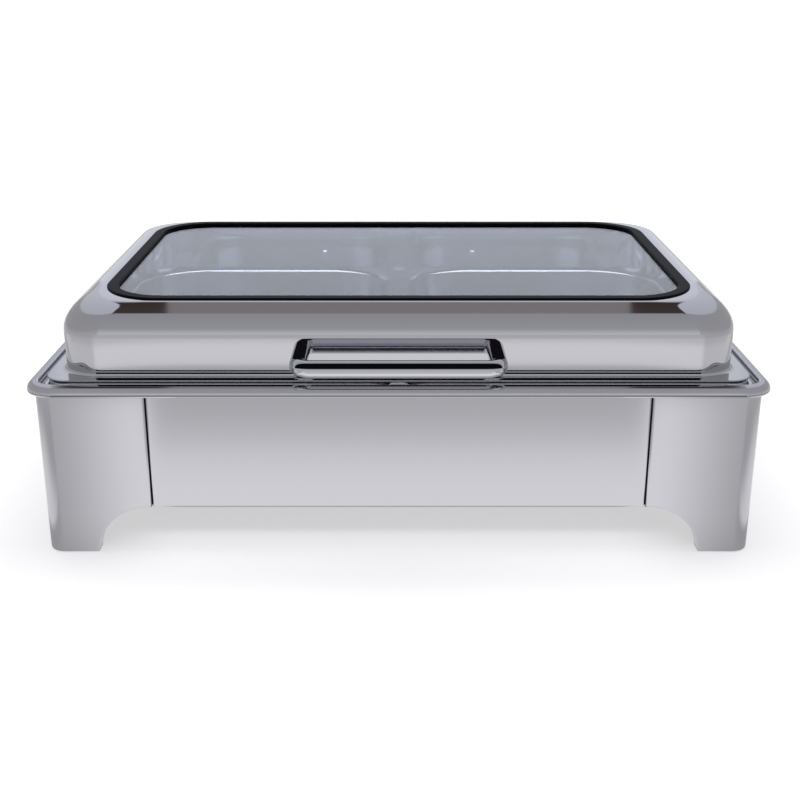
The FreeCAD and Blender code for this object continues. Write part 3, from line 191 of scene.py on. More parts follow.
# Brushed stainless steel strip, cut and bent: duller than the stand
finishes["hinge_steel"] = steel("satin stainless steel strip", "#BDBDC2", 0.30, grain_mm=0.7, grain=0.004)
# Turned and tumbled stainless steel of screws, rivets and pins: small, soft sparkles
finishes["fastener_steel"] = steel("bright turned stainless steel", "#CFCFD4", 0.10)
# Drawn stainless steel, unpolished: the fuel cups show a broad sheen and no clear reflection
finishes["burner_steel"] = steel("drawn stainless steel", "#BBBCC1", 0.26)
print("steel finishes:", len(finishes))

# %% [markdown]
# The seal round the window and the strips in the seams are extruded rubber. Rubber is a
# non-metal with an IOR near 1.5, and its blackness comes from carbon in the mix. Its skin is
# matt and reflects little, with a touch of blue. The knobs are a moulded phenolic resin, which is
# a little glossier. A fine noise gives the seal its tooth, drawn coarser than the real one, which
# wouldn't show.
#
# The pane is tempered float glass: almost colourless, with a perfectly smooth surface. Its IOR is
# set a little under the usual 1.52, so that its own glare doesn't veil the pans.

# %% Rubber, resin and glass
RUBBER_SKIN = {"Specular IOR Level": 0.10, "Specular Tint": linear("#D4DEFF")}


def moulded(name, colour, roughness, ior, skin=None, tooth_mm=0.0, tooth=0.0):
    """A rubber or a resin: one colour, one gloss, and where given a skin and a fine tooth."""
    values = {"Base Color": linear(colour), "Roughness": roughness, "IOR": ior}
    material, tree, shader = plain_material(name, {**values, **(skin or {})})
    if tooth:
        place = add_node(tree, "ShaderNodeTexCoord").outputs["Object"]
        normal = relief(tree, place, tooth_mm, tooth, detail=2.0)
        tree.links.new(normal, shader.inputs["Normal"])
    return material


finishes["seal_rubber"] = moulded(
    "black silicone rubber", "#08090C", 0.5, 1.45, RUBBER_SKIN, tooth_mm=0.6, tooth=0.004)
finishes["strip_rubber"] = moulded("dark EPDM rubber", "#08080A", 0.55, 1.52, RUBBER_SKIN)
finishes["knob_plastic"] = moulded("black phenolic resin", "#101012", 0.30, 1.6)
finishes["pane_glass"] = plain_material("clear tempered glass", {
    "Base Color": linear("#F2F6FA"), "Roughness": 0.0, "IOR": 1.42, "Transmission Weight": 1.0})[0]
print("finishes:", sorted(finishes))

# %% [markdown]
# ## Drawn sheet metal
#
# The pans and the lid are deep drawn: a press pushes flat sheet into a die, so every level cut
# through them is a rectangle with round corners, and every change of direction is a bend. They
# could be made from a box with bevels, but bevels on a box give uneven faces round the corners,
# which a polished surface shows at once.
#
# Here a piece is a stack of level rings instead. `level` states one ring: its width, depth and
# corner radius, its height and the bend there. `bent` replaces each stated ring by a fan of
# rings along the bend, and puts a support ring beside each long flat, which keeps the shading
# of the flat even. The straight sides get support points beside the corners for the same reason.
# `drawn_mesh` joins ring to ring with quads. All the sizes are in millimetres until the last
# step turns them to metres.

# %% Rings for drawn sheet
CORNER_STEPS = 18
BEND_STEPS = 8
SUPPORT = 0.5
# A flat shorter than this has no room for a support ring
SUPPORT_ROOM = 3 * SUPPORT
# A corner has its steps, its start, and a support point on the straight at either end
RING_POINTS = 4 * (CORNER_STEPS + 3)
# A ring is half its width, half its depth, its corner, its centre in X and its height
ACROSS, UP = 0, 4


def level(width, depth, corner, height, bend=0.0, centre=0.0):
    """One ring of a drawn piece, in millimetres, and the bend that the sheet makes there."""
    return ((width / 2, depth / 2, corner, centre, height), bend)


def along(start, way, distance):
    """The ring at a distance from a first one."""
    return tuple(a + b * distance for a, b in zip(start, way))


def section_way(start, end):
    """The way from one ring to the next, scaled to 1 mm in the section, and how long it is."""
    length = math.hypot(end[ACROSS] - start[ACROSS], end[UP] - start[UP])
    return tuple((b - a) / length for a, b in zip(start, end)), length


def bend_arc(ring, back, on, turn, bend):
    """The rings along one bend, where turn is the angle between the ways back and on."""
    sweep = math.pi - turn
    arc = []
    for k in range(BEND_STEPS + 1):
        swept = sweep * k / BEND_STEPS
        # Where the arc is, as shares of the ways back and on from the stated ring
        share_on = bend * (1 - math.cos(swept)) / math.sin(turn)
        share_back = bend * (1 - math.cos(sweep - swept)) / math.sin(turn)
        arc.append(along(along(ring, back, share_back), on, share_on))
    return arc


def bent(rings, loop=False):
    """Rings with every bend drawn as an arc, and support rings beside the flats."""
    result = []
    count = len(rings)
    for number, (ring, bend) in enumerate(rings):
        if not loop and number in (0, count - 1):
            result.append(ring)
            continue
        back, room_back = section_way(ring, rings[number - 1][0])
        on, room_on = section_way(ring, rings[(number + 1) % count][0])
        turn = math.acos(max(-1.0, min(1.0, back[ACROSS] * on[ACROSS] + back[UP] * on[UP])))
        reach = bend / math.tan(turn / 2) if bend else 0.0
        if room_back > reach + SUPPORT_ROOM:
            result.append(along(ring, back, reach + SUPPORT))
        result.extend(bend_arc(ring, back, on, turn, bend) if bend else [ring])
        if room_on > reach + SUPPORT_ROOM:
            result.append(along(ring, on, reach + SUPPORT))
    return result


def ring_points(ring):
    """The points of one ring in metres, from the back right corner round to the left."""
    half_x, half_y, corner, centre, height = ring
    corner = min(corner, half_x, half_y)
    points = []
    for quarter, (side_x, side_y) in enumerate(((1, 1), (-1, 1), (-1, -1), (1, -1))):
        for step in range(-1, CORNER_STEPS + 2):
            on_arc = min(max(step, 0), CORNER_STEPS)
            # How far the point stands off the arc, on the straight side before or after it
            off = (step - on_arc) * SUPPORT
            angle = math.pi / 2 * (quarter + on_arc / CORNER_STEPS)
            x = centre + side_x * (half_x - corner) + corner * math.cos(angle) - off * math.sin(angle)
            y = side_y * (half_y - corner) + corner * math.sin(angle) + off * math.cos(angle)
            points.append((x / 1000, y / 1000, height / 1000))
    return points


def drawn_mesh(name, rings, loop=False):
    """A closed mesh through the rings, ended by two flat faces unless the stack is a loop."""
    around = RING_POINTS
    points = [point for ring in rings for point in ring_points(ring)]
    faces = []
    for first in range(len(rings) if loop else len(rings) - 1):
        second = (first + 1) % len(rings)
        for k in range(around):
            after = (k + 1) % around
            faces.append((first * around + k, first * around + after,
                          second * around + after, second * around + k))
    if not loop:
        faces.append(tuple(reversed(range(around))))
        faces.append(tuple(range((len(rings) - 1) * around, len(rings) * around)))
    mesh = bpy.data.meshes.new(name)
    mesh.from_pydata(points, [], faces)
    work = bmesh.new()
    work.from_mesh(mesh)
    bmesh.ops.remove_doubles(work, verts=work.verts, dist=1e-7)
    bmesh.ops.recalc_face_normals(work, faces=work.faces)
    work.to_mesh(mesh)
    work.free()
    return mesh


print("points on one ring:", RING_POINTS)

# %% [markdown]
# ## Putting a piece in the dish
#
# Every finished mesh goes into the scene in the same way. It gets its finish, smooth shading
# that still breaks at real edges, and the body that it moves with, and it takes the place of
# the engineering model's own mesh. One function does all four, so no piece can miss one.

# %% Place a finished piece
record = frame["record"]
slot_of = {part["node"]: part["material_slot"] for part in record["subparts"]}
body_of = {node: body for body, members in record["behaviour"]["bodies"].items() for node in members}
finished = set()
# An edge that turns by more degrees than this stays sharp
BREAK_ANGLE = 32


def put(mesh, *nodes, finish=None):
    """Shows a finished mesh for one or more nodes, in the slot's finish or in one of its own."""
    name = nodes[0]
    mesh.materials.clear()
    mesh.materials.append(finishes[finish or slot_of[name]])
    for face in mesh.polygons:
        face.use_smooth = True
    mesh.set_sharp_from_angle(angle=math.radians(BREAK_ANGLE))
    piece = bpy.data.objects.new(f"{name}_finished", mesh)
    bpy.context.scene.collection.objects.link(piece)
    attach(piece, body_of[name])
    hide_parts(*nodes)
    finished.update(nodes)
    return piece


def size_in_mm(piece):
    """A piece's width, depth and height."""
    return [round((max(side) - min(side)) * 1000, 1) for side in zip(*piece.bound_box)]


# %% [markdown]
# ## The water pan
#
# The water pan carries everything above the stand. Its rim is rolled round like a bead, and
# inside the bead runs a drip channel that catches what condenses under the lid. Then comes the
# ledge for the food pans, and the deep basin for the hot water.
#
# The rings start under the basin, go up its outside to the rolled rim, over it and down the
# inside to the basin's floor, so the one stack closes the sheet on both sides. A section of the
# pan is named once by its width, depth and corner, and so is each height that returns.

# %% Water pan
CAP = (200, 100, 30)
basin = (570, 392, 30)
basin_inside = (567.6, 389.6, 28.8)
ledge = (586, 408, 11)
bead_inside = (594, 416, 15)
bead = (614, 436, 25)
underside, basin_floor = 86.5, 87.7
bead_foot, under_ledge, channel, ledge_top, bead_top = 141.6, 143.0, 144.5, 147.5, 151.0
water_pan = drawn_mesh("water_pan_finished", bent([
    level(*CAP, underside),
    level(*basin, underside, 12),
    level(*basin, under_ledge, 1.0),
    level(*bead_inside, under_ledge),
    level(*bead_inside, bead_foot),
    level(*bead, bead_foot, 2.2),
    level(*bead, bead_top, 7),
    level(*bead_inside, bead_top, 2.2),
    level(*bead_inside, channel, 1.0),
    level(*ledge, channel, 1.0),
    level(*ledge, ledge_top, 0.8),
    level(*basin_inside, ledge_top, 1.2),
    level(*basin_inside, basin_floor, 10.8),
    level(200, 100, 28.8, basin_floor),
]))
print("water pan, mm:", size_in_mm(put(water_pan, "water_pan")))

# %% [markdown]
# ## The food pans
#
# Two food pans hang side by side in the water pan. Each has a level flange with a rolled edge,
# and the walls slope inwards by six degrees, so that the pan leaves its die and a stack of
# pans comes apart. Between the flanges a gap of 8 mm shows the bar that carries them. The mouth
# isn't quite in the middle of the flange, so each ring carries its own centre. The left pan is
# the right one mirrored, which turns the faces inside out, and `drawn_mesh` turns them back
# because it works out the outside afresh.

# %% Food pans
# How much narrower a pan gets for each millimetre of depth, both walls together
LEAN = math.tan(math.radians(6)) * 2


def food_pan(side):
    """The rings of one food pan, on the left where side is -1 and on the right where it is 1."""
    flange = 147.25 * side
    mouth = 144.5 * side
    outside = 52 * LEAN
    inside = 51 * LEAN
    under_flange, flange_top = 149, 150
    return bent([
        level(100, 150, 40, 98, centre=mouth),
        level(267 - outside, 376 - outside, 61 - outside / 2, 98, 13, mouth),
        level(267 - LEAN, 376 - LEAN, 61, under_flange, 3, mouth),
        level(279.5, 397, 13.5, under_flange, centre=flange),
        level(279.5, 397, 13.5, ledge_top, centre=flange),
        level(286.5, 404, 17, ledge_top, 0.2, flange),
        level(286.5, 404, 17, flange_top, 2.2, flange),
        level(265, 374, 60, flange_top, 5, mouth),
        level(265 - inside, 374 - inside, 60 - inside / 2, 99, 12, mouth),
        level(100, 150, 40, 99, centre=mouth),
    ])


for side, word in ((-1, "left"), (1, "right")):
    pan = put(drawn_mesh(f"food_pan_{word}_finished", food_pan(side)), f"food_pan_{word}")
    print(f"food pan {word}, mm:", size_in_mm(pan))

# %% [markdown]
# ## The lid
#
# The lid is drawn from one sheet, mirror polished, and cut out for the window. Its front and
# sides are upright, the shoulder is a generous round, and the flange at the foot stiffens it.
# The section is a loop: up the outside, over the shoulder to the window's edge, and back down
# the inside. On a polished lid the shoulder carries the whole room as a band of light and
# shade, so its rings are close together.

# %% Lid
lid_flange = (585, 405, 20)
lid_wall = (564, 384, 35)
lid_inside = (561.4, 381.4, 33.7)
lid_opening = (502.2, 318.2, 52.5)
lid_foot, over_flange, under_lid, lid_top = 150.3, 152.0, 208.2, 209.5
lid = drawn_mesh("lid_shell_finished", bent([
    level(*lid_flange, lid_foot, 0.7),
    level(*lid_flange, over_flange, 0.7),
    level(*lid_wall, over_flange, 2),
    level(*lid_wall, lid_top, 24.5),
    level(*lid_opening, lid_top),
    level(*lid_opening, under_lid),
    level(*lid_inside, under_lid, 23.2),
    level(*lid_inside, lid_foot),
], loop=True), loop=True)
print("lid, mm:", size_in_mm(put(lid, "lid_shell")))

# %% [markdown]
# ## The window seal and the pane
#
# One extruded ring of rubber holds the window. Its outer groove grips the lid's edge and its
# inner groove the pane, and its face stands a little proud with rounded edges. The section is
# again a loop of rings. The pane is a plain sheet of glass whose edge is lightly ground, which
# is a bend of a third of a millimetre.

# %% Window seal and pane
seal_edge = (509.2, 325.2, 56)
pane_edge = (496.2, 312.2, 49.5)
window = (489.2, 305.2, 46)
under_seal, under_pane, pane_top, seal_top = 202.9, 204.3, 208.3, 210.9
seal = drawn_mesh("window_gasket_finished", bent([
    level(*seal_edge, lid_top),
    level(*seal_edge, seal_top, 0.9),
    level(*window, seal_top, 0.9),
    level(*window, pane_top),
    level(*pane_edge, pane_top),
    level(*pane_edge, under_pane),
    level(*window, under_pane),
    level(*window, under_seal),
    level(*seal_edge, under_seal, 0.8),
    level(*seal_edge, under_lid),
    level(*lid_opening, under_lid),
    level(*lid_opening, lid_top),
], loop=True), loop=True)
print("seal, mm:", size_in_mm(put(seal, "window_gasket")))

pane = drawn_mesh("window_glass_finished", bent([
    level(*CAP, under_pane),
    level(*pane_edge, under_pane, 0.3),
    level(*pane_edge, pane_top, 0.3),
    level(*CAP, pane_top),
]))
print("pane, mm:", size_in_mm(put(pane, "window_glass")))

# %% [markdown]
# ## The handle
#
# The handle is a round bar bent to a U. Such a bar could be a bevelled curve, but a node tree
# states its rule better: take a path, round its corners by the bender's radius, and sweep the
# bar's circle along it. The path is four points, and the two sizes that a maker would change,
# the bend and the bar, are named inputs of the tree. `baked` turns the result into a mesh.

# %% Bent bar tree
def inputs_of(tree, sizes):
    """Gives a tree its geometry, its named sizes and its finish, and returns the sockets by name."""
    kinds = {"Geometry": "NodeSocketGeometry"}
    for name, value in sizes.items():
        kinds[name] = "NodeSocketInt" if isinstance(value, int) else "NodeSocketFloat"
    kinds["Finish"] = "NodeSocketMaterial"
    made = {}
    for name, kind in kinds.items():
        made[name] = tree.interface.new_socket(name, in_out="INPUT", socket_type=kind)
        if name in sizes:
            made[name].default_value = sizes[name]
    tree.interface.new_socket("Geometry", in_out="OUTPUT", socket_type="NodeSocketGeometry")
    return made


def baked(mesh, tree, sockets, values):
    """Runs a tree on a mesh and returns the result as a plain mesh."""
    carrier = bpy.data.objects.new("carrier", mesh)
    bpy.context.scene.collection.objects.link(carrier)
    modifier = carrier.modifiers.new("tree", "NODES")
    modifier.node_group = tree
    for name, value in values.items():
        modifier[sockets[name].identifier] = value
    seen = carrier.evaluated_get(bpy.context.evaluated_depsgraph_get())
    result = bpy.data.meshes.new_from_object(seen)
    bpy.data.objects.remove(carrier)
    return result


def end_tree(tree, geometry, finish):
    """Ends a tree with real geometry in its finish, because an exported model has no instances."""
    real = add_node(tree, "GeometryNodeRealizeInstances", {"Geometry": geometry})
    dressed = add_node(tree, "GeometryNodeSetMaterial", {
        "Geometry": real.outputs["Geometry"], "Material": finish})
    add_node(tree, "NodeGroupOutput", {"Geometry": dressed.outputs["Geometry"]})


bar_tree = bpy.data.node_groups.new("Bent bar", "GeometryNodeTree")
bar_sockets = inputs_of(bar_tree, {"Bend radius": 0.011, "Bar radius": 0.0073})
given = add_node(bar_tree, "NodeGroupInput")
path = add_node(bar_tree, "GeometryNodeMeshToCurve", {"Mesh": given.outputs["Geometry"]})
rounded = add_node(bar_tree, "GeometryNodeFilletCurve", {
    "Curve": path.outputs["Curve"], "Count": 14, "Radius": given.outputs["Bend radius"]}, mode="POLY")
circle = add_node(bar_tree, "GeometryNodeCurvePrimitiveCircle", {
    "Resolution": 48, "Radius": given.outputs["Bar radius"]})
swept = add_node(bar_tree, "GeometryNodeCurveToMesh", {
    "Curve": rounded.outputs["Curve"], "Profile Curve": circle.outputs["Curve"], "Fill Caps": True})
end_tree(bar_tree, swept.outputs["Mesh"], given.outputs["Finish"])
print("nodes in the bar tree:", len(bar_tree.nodes))

# %% [markdown]
# The handle's own numbers come from the frame: its box gives the wall that it starts from, the
# middle of the bar and its span.

# %% Handle
low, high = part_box("handle")
bar_radius = (high.z - low.z) / 2
half_span = (high.x - low.x) / 2 - bar_radius
front = low.y + bar_radius
middle = (low.z + high.z) / 2
path_mesh = bpy.data.meshes.new("handle path")
path_mesh.from_pydata(
    [(-half_span, high.y, middle), (-half_span, front, middle),
     (half_span, front, middle), (half_span, high.y, middle)],
    [(0, 1), (1, 2), (2, 3)], [])
handle_mesh = baked(path_mesh, bar_tree, bar_sockets, {
    "Bend radius": 0.011, "Bar radius": bar_radius, "Finish": finishes["buffed_steel"]})
print("handle, mm:", size_in_mm(put(handle_mesh, "handle", finish="buffed_steel")))

# %% [markdown]
# ## Rivets, screws and cap nuts
#
# The dish is held together by a few dozen small fasteners of six kinds. Every one is a shank, a
# head with some number of sides and a dome on it, so a single tree makes them all. It builds
# one fastener from its named sizes, sets a copy on each point of the incoming mesh, and turns
# the copy along that point's `axis`. Instancing keeps the fastener itself simple, and the tree
# ends by making the copies real, because an exported model has no instances.

# %% Fastener tree
pin_tree = bpy.data.node_groups.new("Fasteners", "GeometryNodeTree")
pin_sockets = inputs_of(pin_tree, {
    "Shank radius": 0.002, "Shank length": 0.004, "Head radius": 0.004, "Head height": 0.001,
    "Head sides": 24, "Dome radius": 0.004, "Dome height": 0.001})
given = add_node(pin_tree, "NodeGroupInput")


def lifted(height, share):
    """A vector straight up by a share of one of the tree's sizes."""
    part = add_node(pin_tree, MATH, {0: height, 1: share}, operation="MULTIPLY")
    return add_node(pin_tree, "ShaderNodeCombineXYZ", {"Z": part.outputs[0]}).outputs[0]


# The shank reaches down into the sheet, and the head stands on the sheet
round_parts = []
for sides, radius, height, share in (
        (20, "Shank radius", "Shank length", -0.5),
        (given.outputs["Head sides"], "Head radius", "Head height", 0.5)):
    cylinder = add_node(pin_tree, "GeometryNodeMeshCylinder", {
        "Vertices": sides, "Radius": given.outputs[radius], "Depth": given.outputs[height]})
    round_parts.append(add_node(pin_tree, "GeometryNodeTransform", {
        "Geometry": cylinder.outputs["Mesh"], "Translation": lifted(given.outputs[height], share)}))
print("nodes so far:", len(pin_tree.nodes))

# %% [markdown]
# The dome is a ball of radius 1 whose lower half is pressed flat. The node `Set Position` then
# stretches it to the dome's radius and height and puts it on the head.

# %% Dome and copies
ball = add_node(pin_tree, "GeometryNodeMeshUVSphere", {"Segments": 20, "Rings": 12, "Radius": 1.0})
where = add_node(pin_tree, "GeometryNodeInputPosition")
parts = add_node(pin_tree, "ShaderNodeSeparateXYZ", {0: where.outputs[0]})
top_half = add_node(pin_tree, MATH, {0: parts.outputs["Z"], 1: 0.0}, operation="MAXIMUM")
pressed = add_node(pin_tree, "ShaderNodeCombineXYZ", {
    "X": parts.outputs["X"], "Y": parts.outputs["Y"], "Z": top_half.outputs[0]})
across = given.outputs["Dome radius"]
stretch = add_node(pin_tree, "ShaderNodeCombineXYZ", {
    "X": across, "Y": across, "Z": given.outputs["Dome height"]})
sized = add_node(pin_tree, "ShaderNodeVectorMath", {
    0: pressed.outputs[0], 1: stretch.outputs[0]}, operation="MULTIPLY")
dome = add_node(pin_tree, "GeometryNodeSetPosition", {
    "Geometry": ball.outputs["Mesh"], "Position": sized.outputs[0],
    "Offset": lifted(given.outputs["Head height"], 1.0)})
one = add_node(pin_tree, "GeometryNodeJoinGeometry")
for part in (*round_parts, dome):
    pin_tree.links.new(part.outputs["Geometry"], one.inputs["Geometry"])
axis = add_node(pin_tree, "GeometryNodeInputNamedAttribute", {"Name": "axis"}, data_type="FLOAT_VECTOR")
turned = add_node(pin_tree, "FunctionNodeAlignRotationToVector", {
    "Vector": axis.outputs["Attribute"]}, axis="Z")
many = add_node(pin_tree, "GeometryNodeInstanceOnPoints", {
    "Points": given.outputs["Geometry"], "Instance": one.outputs["Geometry"],
    "Rotation": turned.outputs["Rotation"]})
end_tree(pin_tree, many.outputs["Instances"], given.outputs["Finish"])
print("nodes in the fastener tree:", len(pin_tree.nodes))

# %% [markdown]
# Each kind of fastener below is a list of places with the axis that its head points along. A
# seam rivet has a head at both ends, so it is set twice from its middle, once each way. The
# places follow the engineering model: 61 and 122 mm up each seam, 100 mm apart on the shelf's
# lips, and at the handle's and the hinges' screws in the lid's walls.

# %% Set the fasteners
def fasten(node, places, shank, head, sides, dome):
    """Sets one kind of fastener. Shank, head and dome are each a radius and a length in mm."""
    points = bpy.data.meshes.new(f"{node} places")
    points.from_pydata([[v / 1000 for v in place] for place, _ in places], [], [])
    attribute = points.attributes.new("axis", "FLOAT_VECTOR", "POINT")
    attribute.data.foreach_set("vector", [v for _, way in places for v in way])
    mesh = baked(points, pin_tree, pin_sockets, {
        "Shank radius": shank[0] / 1000, "Shank length": shank[1] / 1000,
        "Head radius": head[0] / 1000, "Head height": head[1] / 1000, "Head sides": sides,
        "Dome radius": dome[0] / 1000, "Dome height": dome[1] / 1000,
        "Finish": finishes[slot_of[node]]})
    print(node, "heads:", len(places), "faces:", len(mesh.polygons))
    return put(mesh, node)


# Half of what a seam rivet grips, and the places of the seams and of the hems behind the panels
HALF_GRIP = 2.1
seam_x, seam_y = 207.5, 118.5
hem_x, hem_y = 292.25, 203.25
rivets = []
for side, end, height, way in product((-1, 1), (-1, 1), (61.2, 122.1), (-1, 1)):
    across = (seam_x * side + HALF_GRIP * way, hem_y * end, height)
    along_side = (hem_x * side, seam_y * end + HALF_GRIP * way, height)
    rivets.append((across, (way, 0, 0)))
    rivets.append((along_side, (0, way, 0)))
fasten("panel_rivets", rivets, shank=(2, HALF_GRIP), head=(3.6, 0.4), sides=24, dome=(3.5, 1.0))
lip_x, lip_y, lip_top = 291.05, 50, 44.7
lips = [((x, y, lip_top), (0, 0, 1)) for x in (-lip_x, lip_x) for y in (-lip_y, lip_y)]
fasten("shelf_screws", lips, shank=(2, 4.5), head=(4, 0.8), sides=24, dome=(3.8, 1.2))
print("heads in the stand:", len(rivets) + len(lips))

# %% [markdown]
# The lid's four screws sit at one level, two in front for the handle and two behind for the
# hinges. The handle's screws have their heads and washers inside the lid. The hinges' screws have
# their heads outside and cap nuts inside. So a pair of fasteners is given by its distance from
# the middle, its place in Y and the way that its heads point.

# %% Fasteners in the lid
screw_level = (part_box("handle_screws")[0].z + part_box("handle_screws")[1].z) / 2 * 1000
handle_x, hinge_x = 81, 82
inside_front, on_washers, on_straps, inside_back = -190.7, -189.5, 194.5, 190.7


def pair(off_middle, place, way):
    """A left and a right place in the lid's walls, with the heads along Y."""
    return [((x, place, screw_level), (0, way, 0)) for x in (-off_middle, off_middle)]


fasten("handle_washers", pair(handle_x, inside_front, 1),
       shank=(3, 0.2), head=(8, 1.2), sides=32, dome=(5, 0.1))
fasten("handle_screws", pair(handle_x, on_washers, 1),
       shank=(2.9, 10.5), head=(5.5, 1.6), sides=32, dome=(5.4, 2.4))
fasten("hinge_screws", pair(hinge_x, on_straps, 1),
       shank=(2.5, 9.3), head=(5, 1.0), sides=32, dome=(4.8, 2.0))
fasten("hinge_cap_nuts", pair(hinge_x, inside_back, -1),
       shank=(2.5, 0.2), head=(5.77, 5.0), sides=6, dome=(4.6, 4.6))
print("level of the lid's screws, mm:", round(screw_level, 1))

# %% [markdown]
# ## The stand, the burners and the hinges
#
# The remaining pieces are pressed, folded or turned, and the engineering model already has
# their bends. Its meshes are loose triangles, so each copy is merged first. Then the normals
# are weighted by area: a large flat keeps its own direction right up to the bend beside it, as
# real sheet does, and the bend alone carries the turn of the light.

# %% Finish the remaining nodes
def merged_copy(node):
    """A node's mesh with its doubles merged."""
    work = bmesh.new()
    work.from_mesh(frame["nodes"][node].data)
    bmesh.ops.remove_doubles(work, verts=work.verts, dist=2e-6)
    mesh = bpy.data.meshes.new(f"{node}_finished")
    work.to_mesh(mesh)
    work.free()
    return mesh


for node in sorted(set(frame["nodes"]) - finished):
    piece = put(merged_copy(node), node)
    weigh = piece.modifiers.new("weighted normals", "WEIGHTED_NORMAL")
    weigh.keep_sharp = True
    weigh.weight = 50
print("nodes finished:", len(finished), "of", len(frame["nodes"]))

# %% [markdown]
# ## The room round the dish
#
# Polished steel has no look of its own and shows the room, so the room is drawn too: a mid-grey
# wall behind the camera, a warm grey ceiling panel and a bright backdrop behind the dish. They
# could be cards standing round the dish, but a world coloured by direction gives the same bands
# on the lid and adds nothing that a turned camera could bump into.
#
# The world's angle runs from the wall behind the camera, over the ceiling, to the backdrop. The
# angle of a direction is the arc tangent of its height over its way forward, so one colour ramp
# holds the whole room from front to back. How far a direction points sideways is kept apart.

# %% World angle
world = bpy.data.worlds.new("Studio")
bpy.context.scene.world = world
world.use_nodes = True
tree = world.node_tree
tree.nodes.clear()
way = add_node(tree, "ShaderNodeTexCoord").outputs["Generated"]
parts = add_node(tree, "ShaderNodeSeparateXYZ", {0: way})
forward = add_node(tree, MATH, {0: parts.outputs["Y"], 1: -1.0}, operation="MULTIPLY")
angle = add_node(tree, MATH, {0: parts.outputs["Z"], 1: forward.outputs[0]}, operation="ARCTAN2")
share = add_node(tree, MATH, {0: angle.outputs[0], 1: math.pi}, operation="DIVIDE").outputs[0]
sideways = add_node(tree, MATH, {0: parts.outputs["X"]}, operation="ABSOLUTE").outputs[0]


def room_ramp(bands, over=share):
    """A colour ramp over an angle of the world, from a list of degrees and colours."""
    ramp_node = add_node(tree, "ShaderNodeValToRGB", {"Fac": over})
    ramp = ramp_node.color_ramp
    while len(ramp.elements) > 1:
        ramp.elements.remove(ramp.elements[-1])
    for number, (degrees, colour) in enumerate(bands):
        stop = ramp.elements[0] if number == 0 else ramp.elements.new(degrees / 180)
        stop.position = degrees / 180
        stop.color = linear(colour)
    return ramp_node.outputs["Color"]


print("world angle ready, nodes:", len(tree.nodes))

# %% [markdown]
# Round the lid's corners the bands of the real room keep their height, as if the room curved
# round the dish. So the sides of the room use a second angle. It asks how steep a mirror would
# have to stand to show this direction to someone who looks along the dish's usual view. For a
# mirror that faces straight forward the two angles are the same.

# %% Mirror angle
tilt = math.radians(USUAL_TILT)
usual_way = (0, math.cos(tilt), -math.sin(tilt))
between = add_node(tree, "ShaderNodeVectorMath", {0: way, 1: usual_way}, operation="SUBTRACT")
mirror = add_node(tree, "ShaderNodeVectorMath", {0: between.outputs[0]}, operation="NORMALIZE")
mirror = add_node(tree, "ShaderNodeSeparateXYZ", {0: mirror.outputs[0]})
steep = add_node(tree, MATH, {0: mirror.outputs["Z"]}, operation="ARCSINE").outputs[0]
# A mirror that leans over backwards counts on past the upright
leans_back = add_node(tree, MATH, {0: mirror.outputs["Y"], 1: 0.0}, operation="GREATER_THAN")
rest_of_turn = add_node(tree, MATH, {0: steep, 1: -2.0, 2: math.pi}, operation="MULTIPLY_ADD")
steep = add_node(tree, MATH, {
    0: leans_back.outputs[0], 1: rest_of_turn.outputs[0], 2: steep}, operation="MULTIPLY_ADD")
shown = add_node(tree, MATH, {0: steep.outputs[0], 1: 2.0, 2: -tilt}, operation="MULTIPLY_ADD")
mirror_share = add_node(tree, MATH, {0: shown.outputs[0], 1: math.pi}, operation="DIVIDE").outputs[0]
print("mirror angle ready, nodes:", len(tree.nodes))

# %% [markdown]
# The room has three zones from the middle out to the sides. Straight ahead hangs the ceiling
# panel. Beside the panel the ceiling is dark, and still further out come the side lights. Each
# zone is a ramp of its own, and the share of the direction that points sideways picks the zone.
#
# A condition is a share from 0 to 1. `laid_over` lays a zone over another where a condition
# holds, `overlap` joins two conditions, and `rest` turns one round. All work in the tree at hand.

# %% Zones of the room
wall = [(0, "#E4E4E8"), (22, "#B8B8BC"), (60, "#B0B0B4"), (84, "#ACACB0")]
backdrop = [(156, "#DEE2EC"), (180, "#E4E8F0")]
side_wall = [(0, "#CACACC"), (22, "#B4B4B6"), (84, "#B0B0B2"), (89, "#D0D2DA")]
middle_zone = room_ramp(wall + [(88, "#989290"), (148, "#948D8B")] + backdrop)
dark_zone = room_ramp(wall + [(88, "#4E433F"), (148, "#453A36")] + backdrop)
side_zone = room_ramp(side_wall + backdrop, mirror_share)
# A Mix node's colour sockets share their names with its other sockets, so they go by number
COLOUR_BELOW, COLOUR_ABOVE, COLOUR_RESULT = 6, 7, 2
# How far sideways the ceiling panel ends and the side lights begin
PANEL_END, SIDE_LIGHTS = (0.188, 0.191), (0.272, 0.28)


def beyond(start, end):
    """0 where a direction points less sideways than start, 1 where it does more than end."""
    return add_node(tree, "ShaderNodeMapRange", {
        "Value": sideways, "From Min": start, "From Max": end}).outputs["Result"]


def overlap(first, second):
    """Where two conditions hold together, or one condition at a given strength."""
    return add_node(tree, MATH, {0: first, 1: second}, operation="MULTIPLY").outputs[0]


def rest(condition):
    """Where a condition doesn't hold."""
    return add_node(tree, MATH, {0: 1.0, 1: condition}, operation="SUBTRACT").outputs[0]


def laid_over(below, above, where):
    """The colour above where the condition holds, and the colour below elsewhere."""
    mix = add_node(tree, "ShaderNodeMix", {
        "Factor": where, COLOUR_BELOW: below, COLOUR_ABOVE: above}, data_type="RGBA")
    return mix.outputs[COLOUR_RESULT]


room = laid_over(middle_zone, dark_zone, beyond(*PANEL_END))
room = laid_over(room, side_zone, beyond(*SIDE_LIGHTS))
print("zones ready, nodes:", len(tree.nodes))

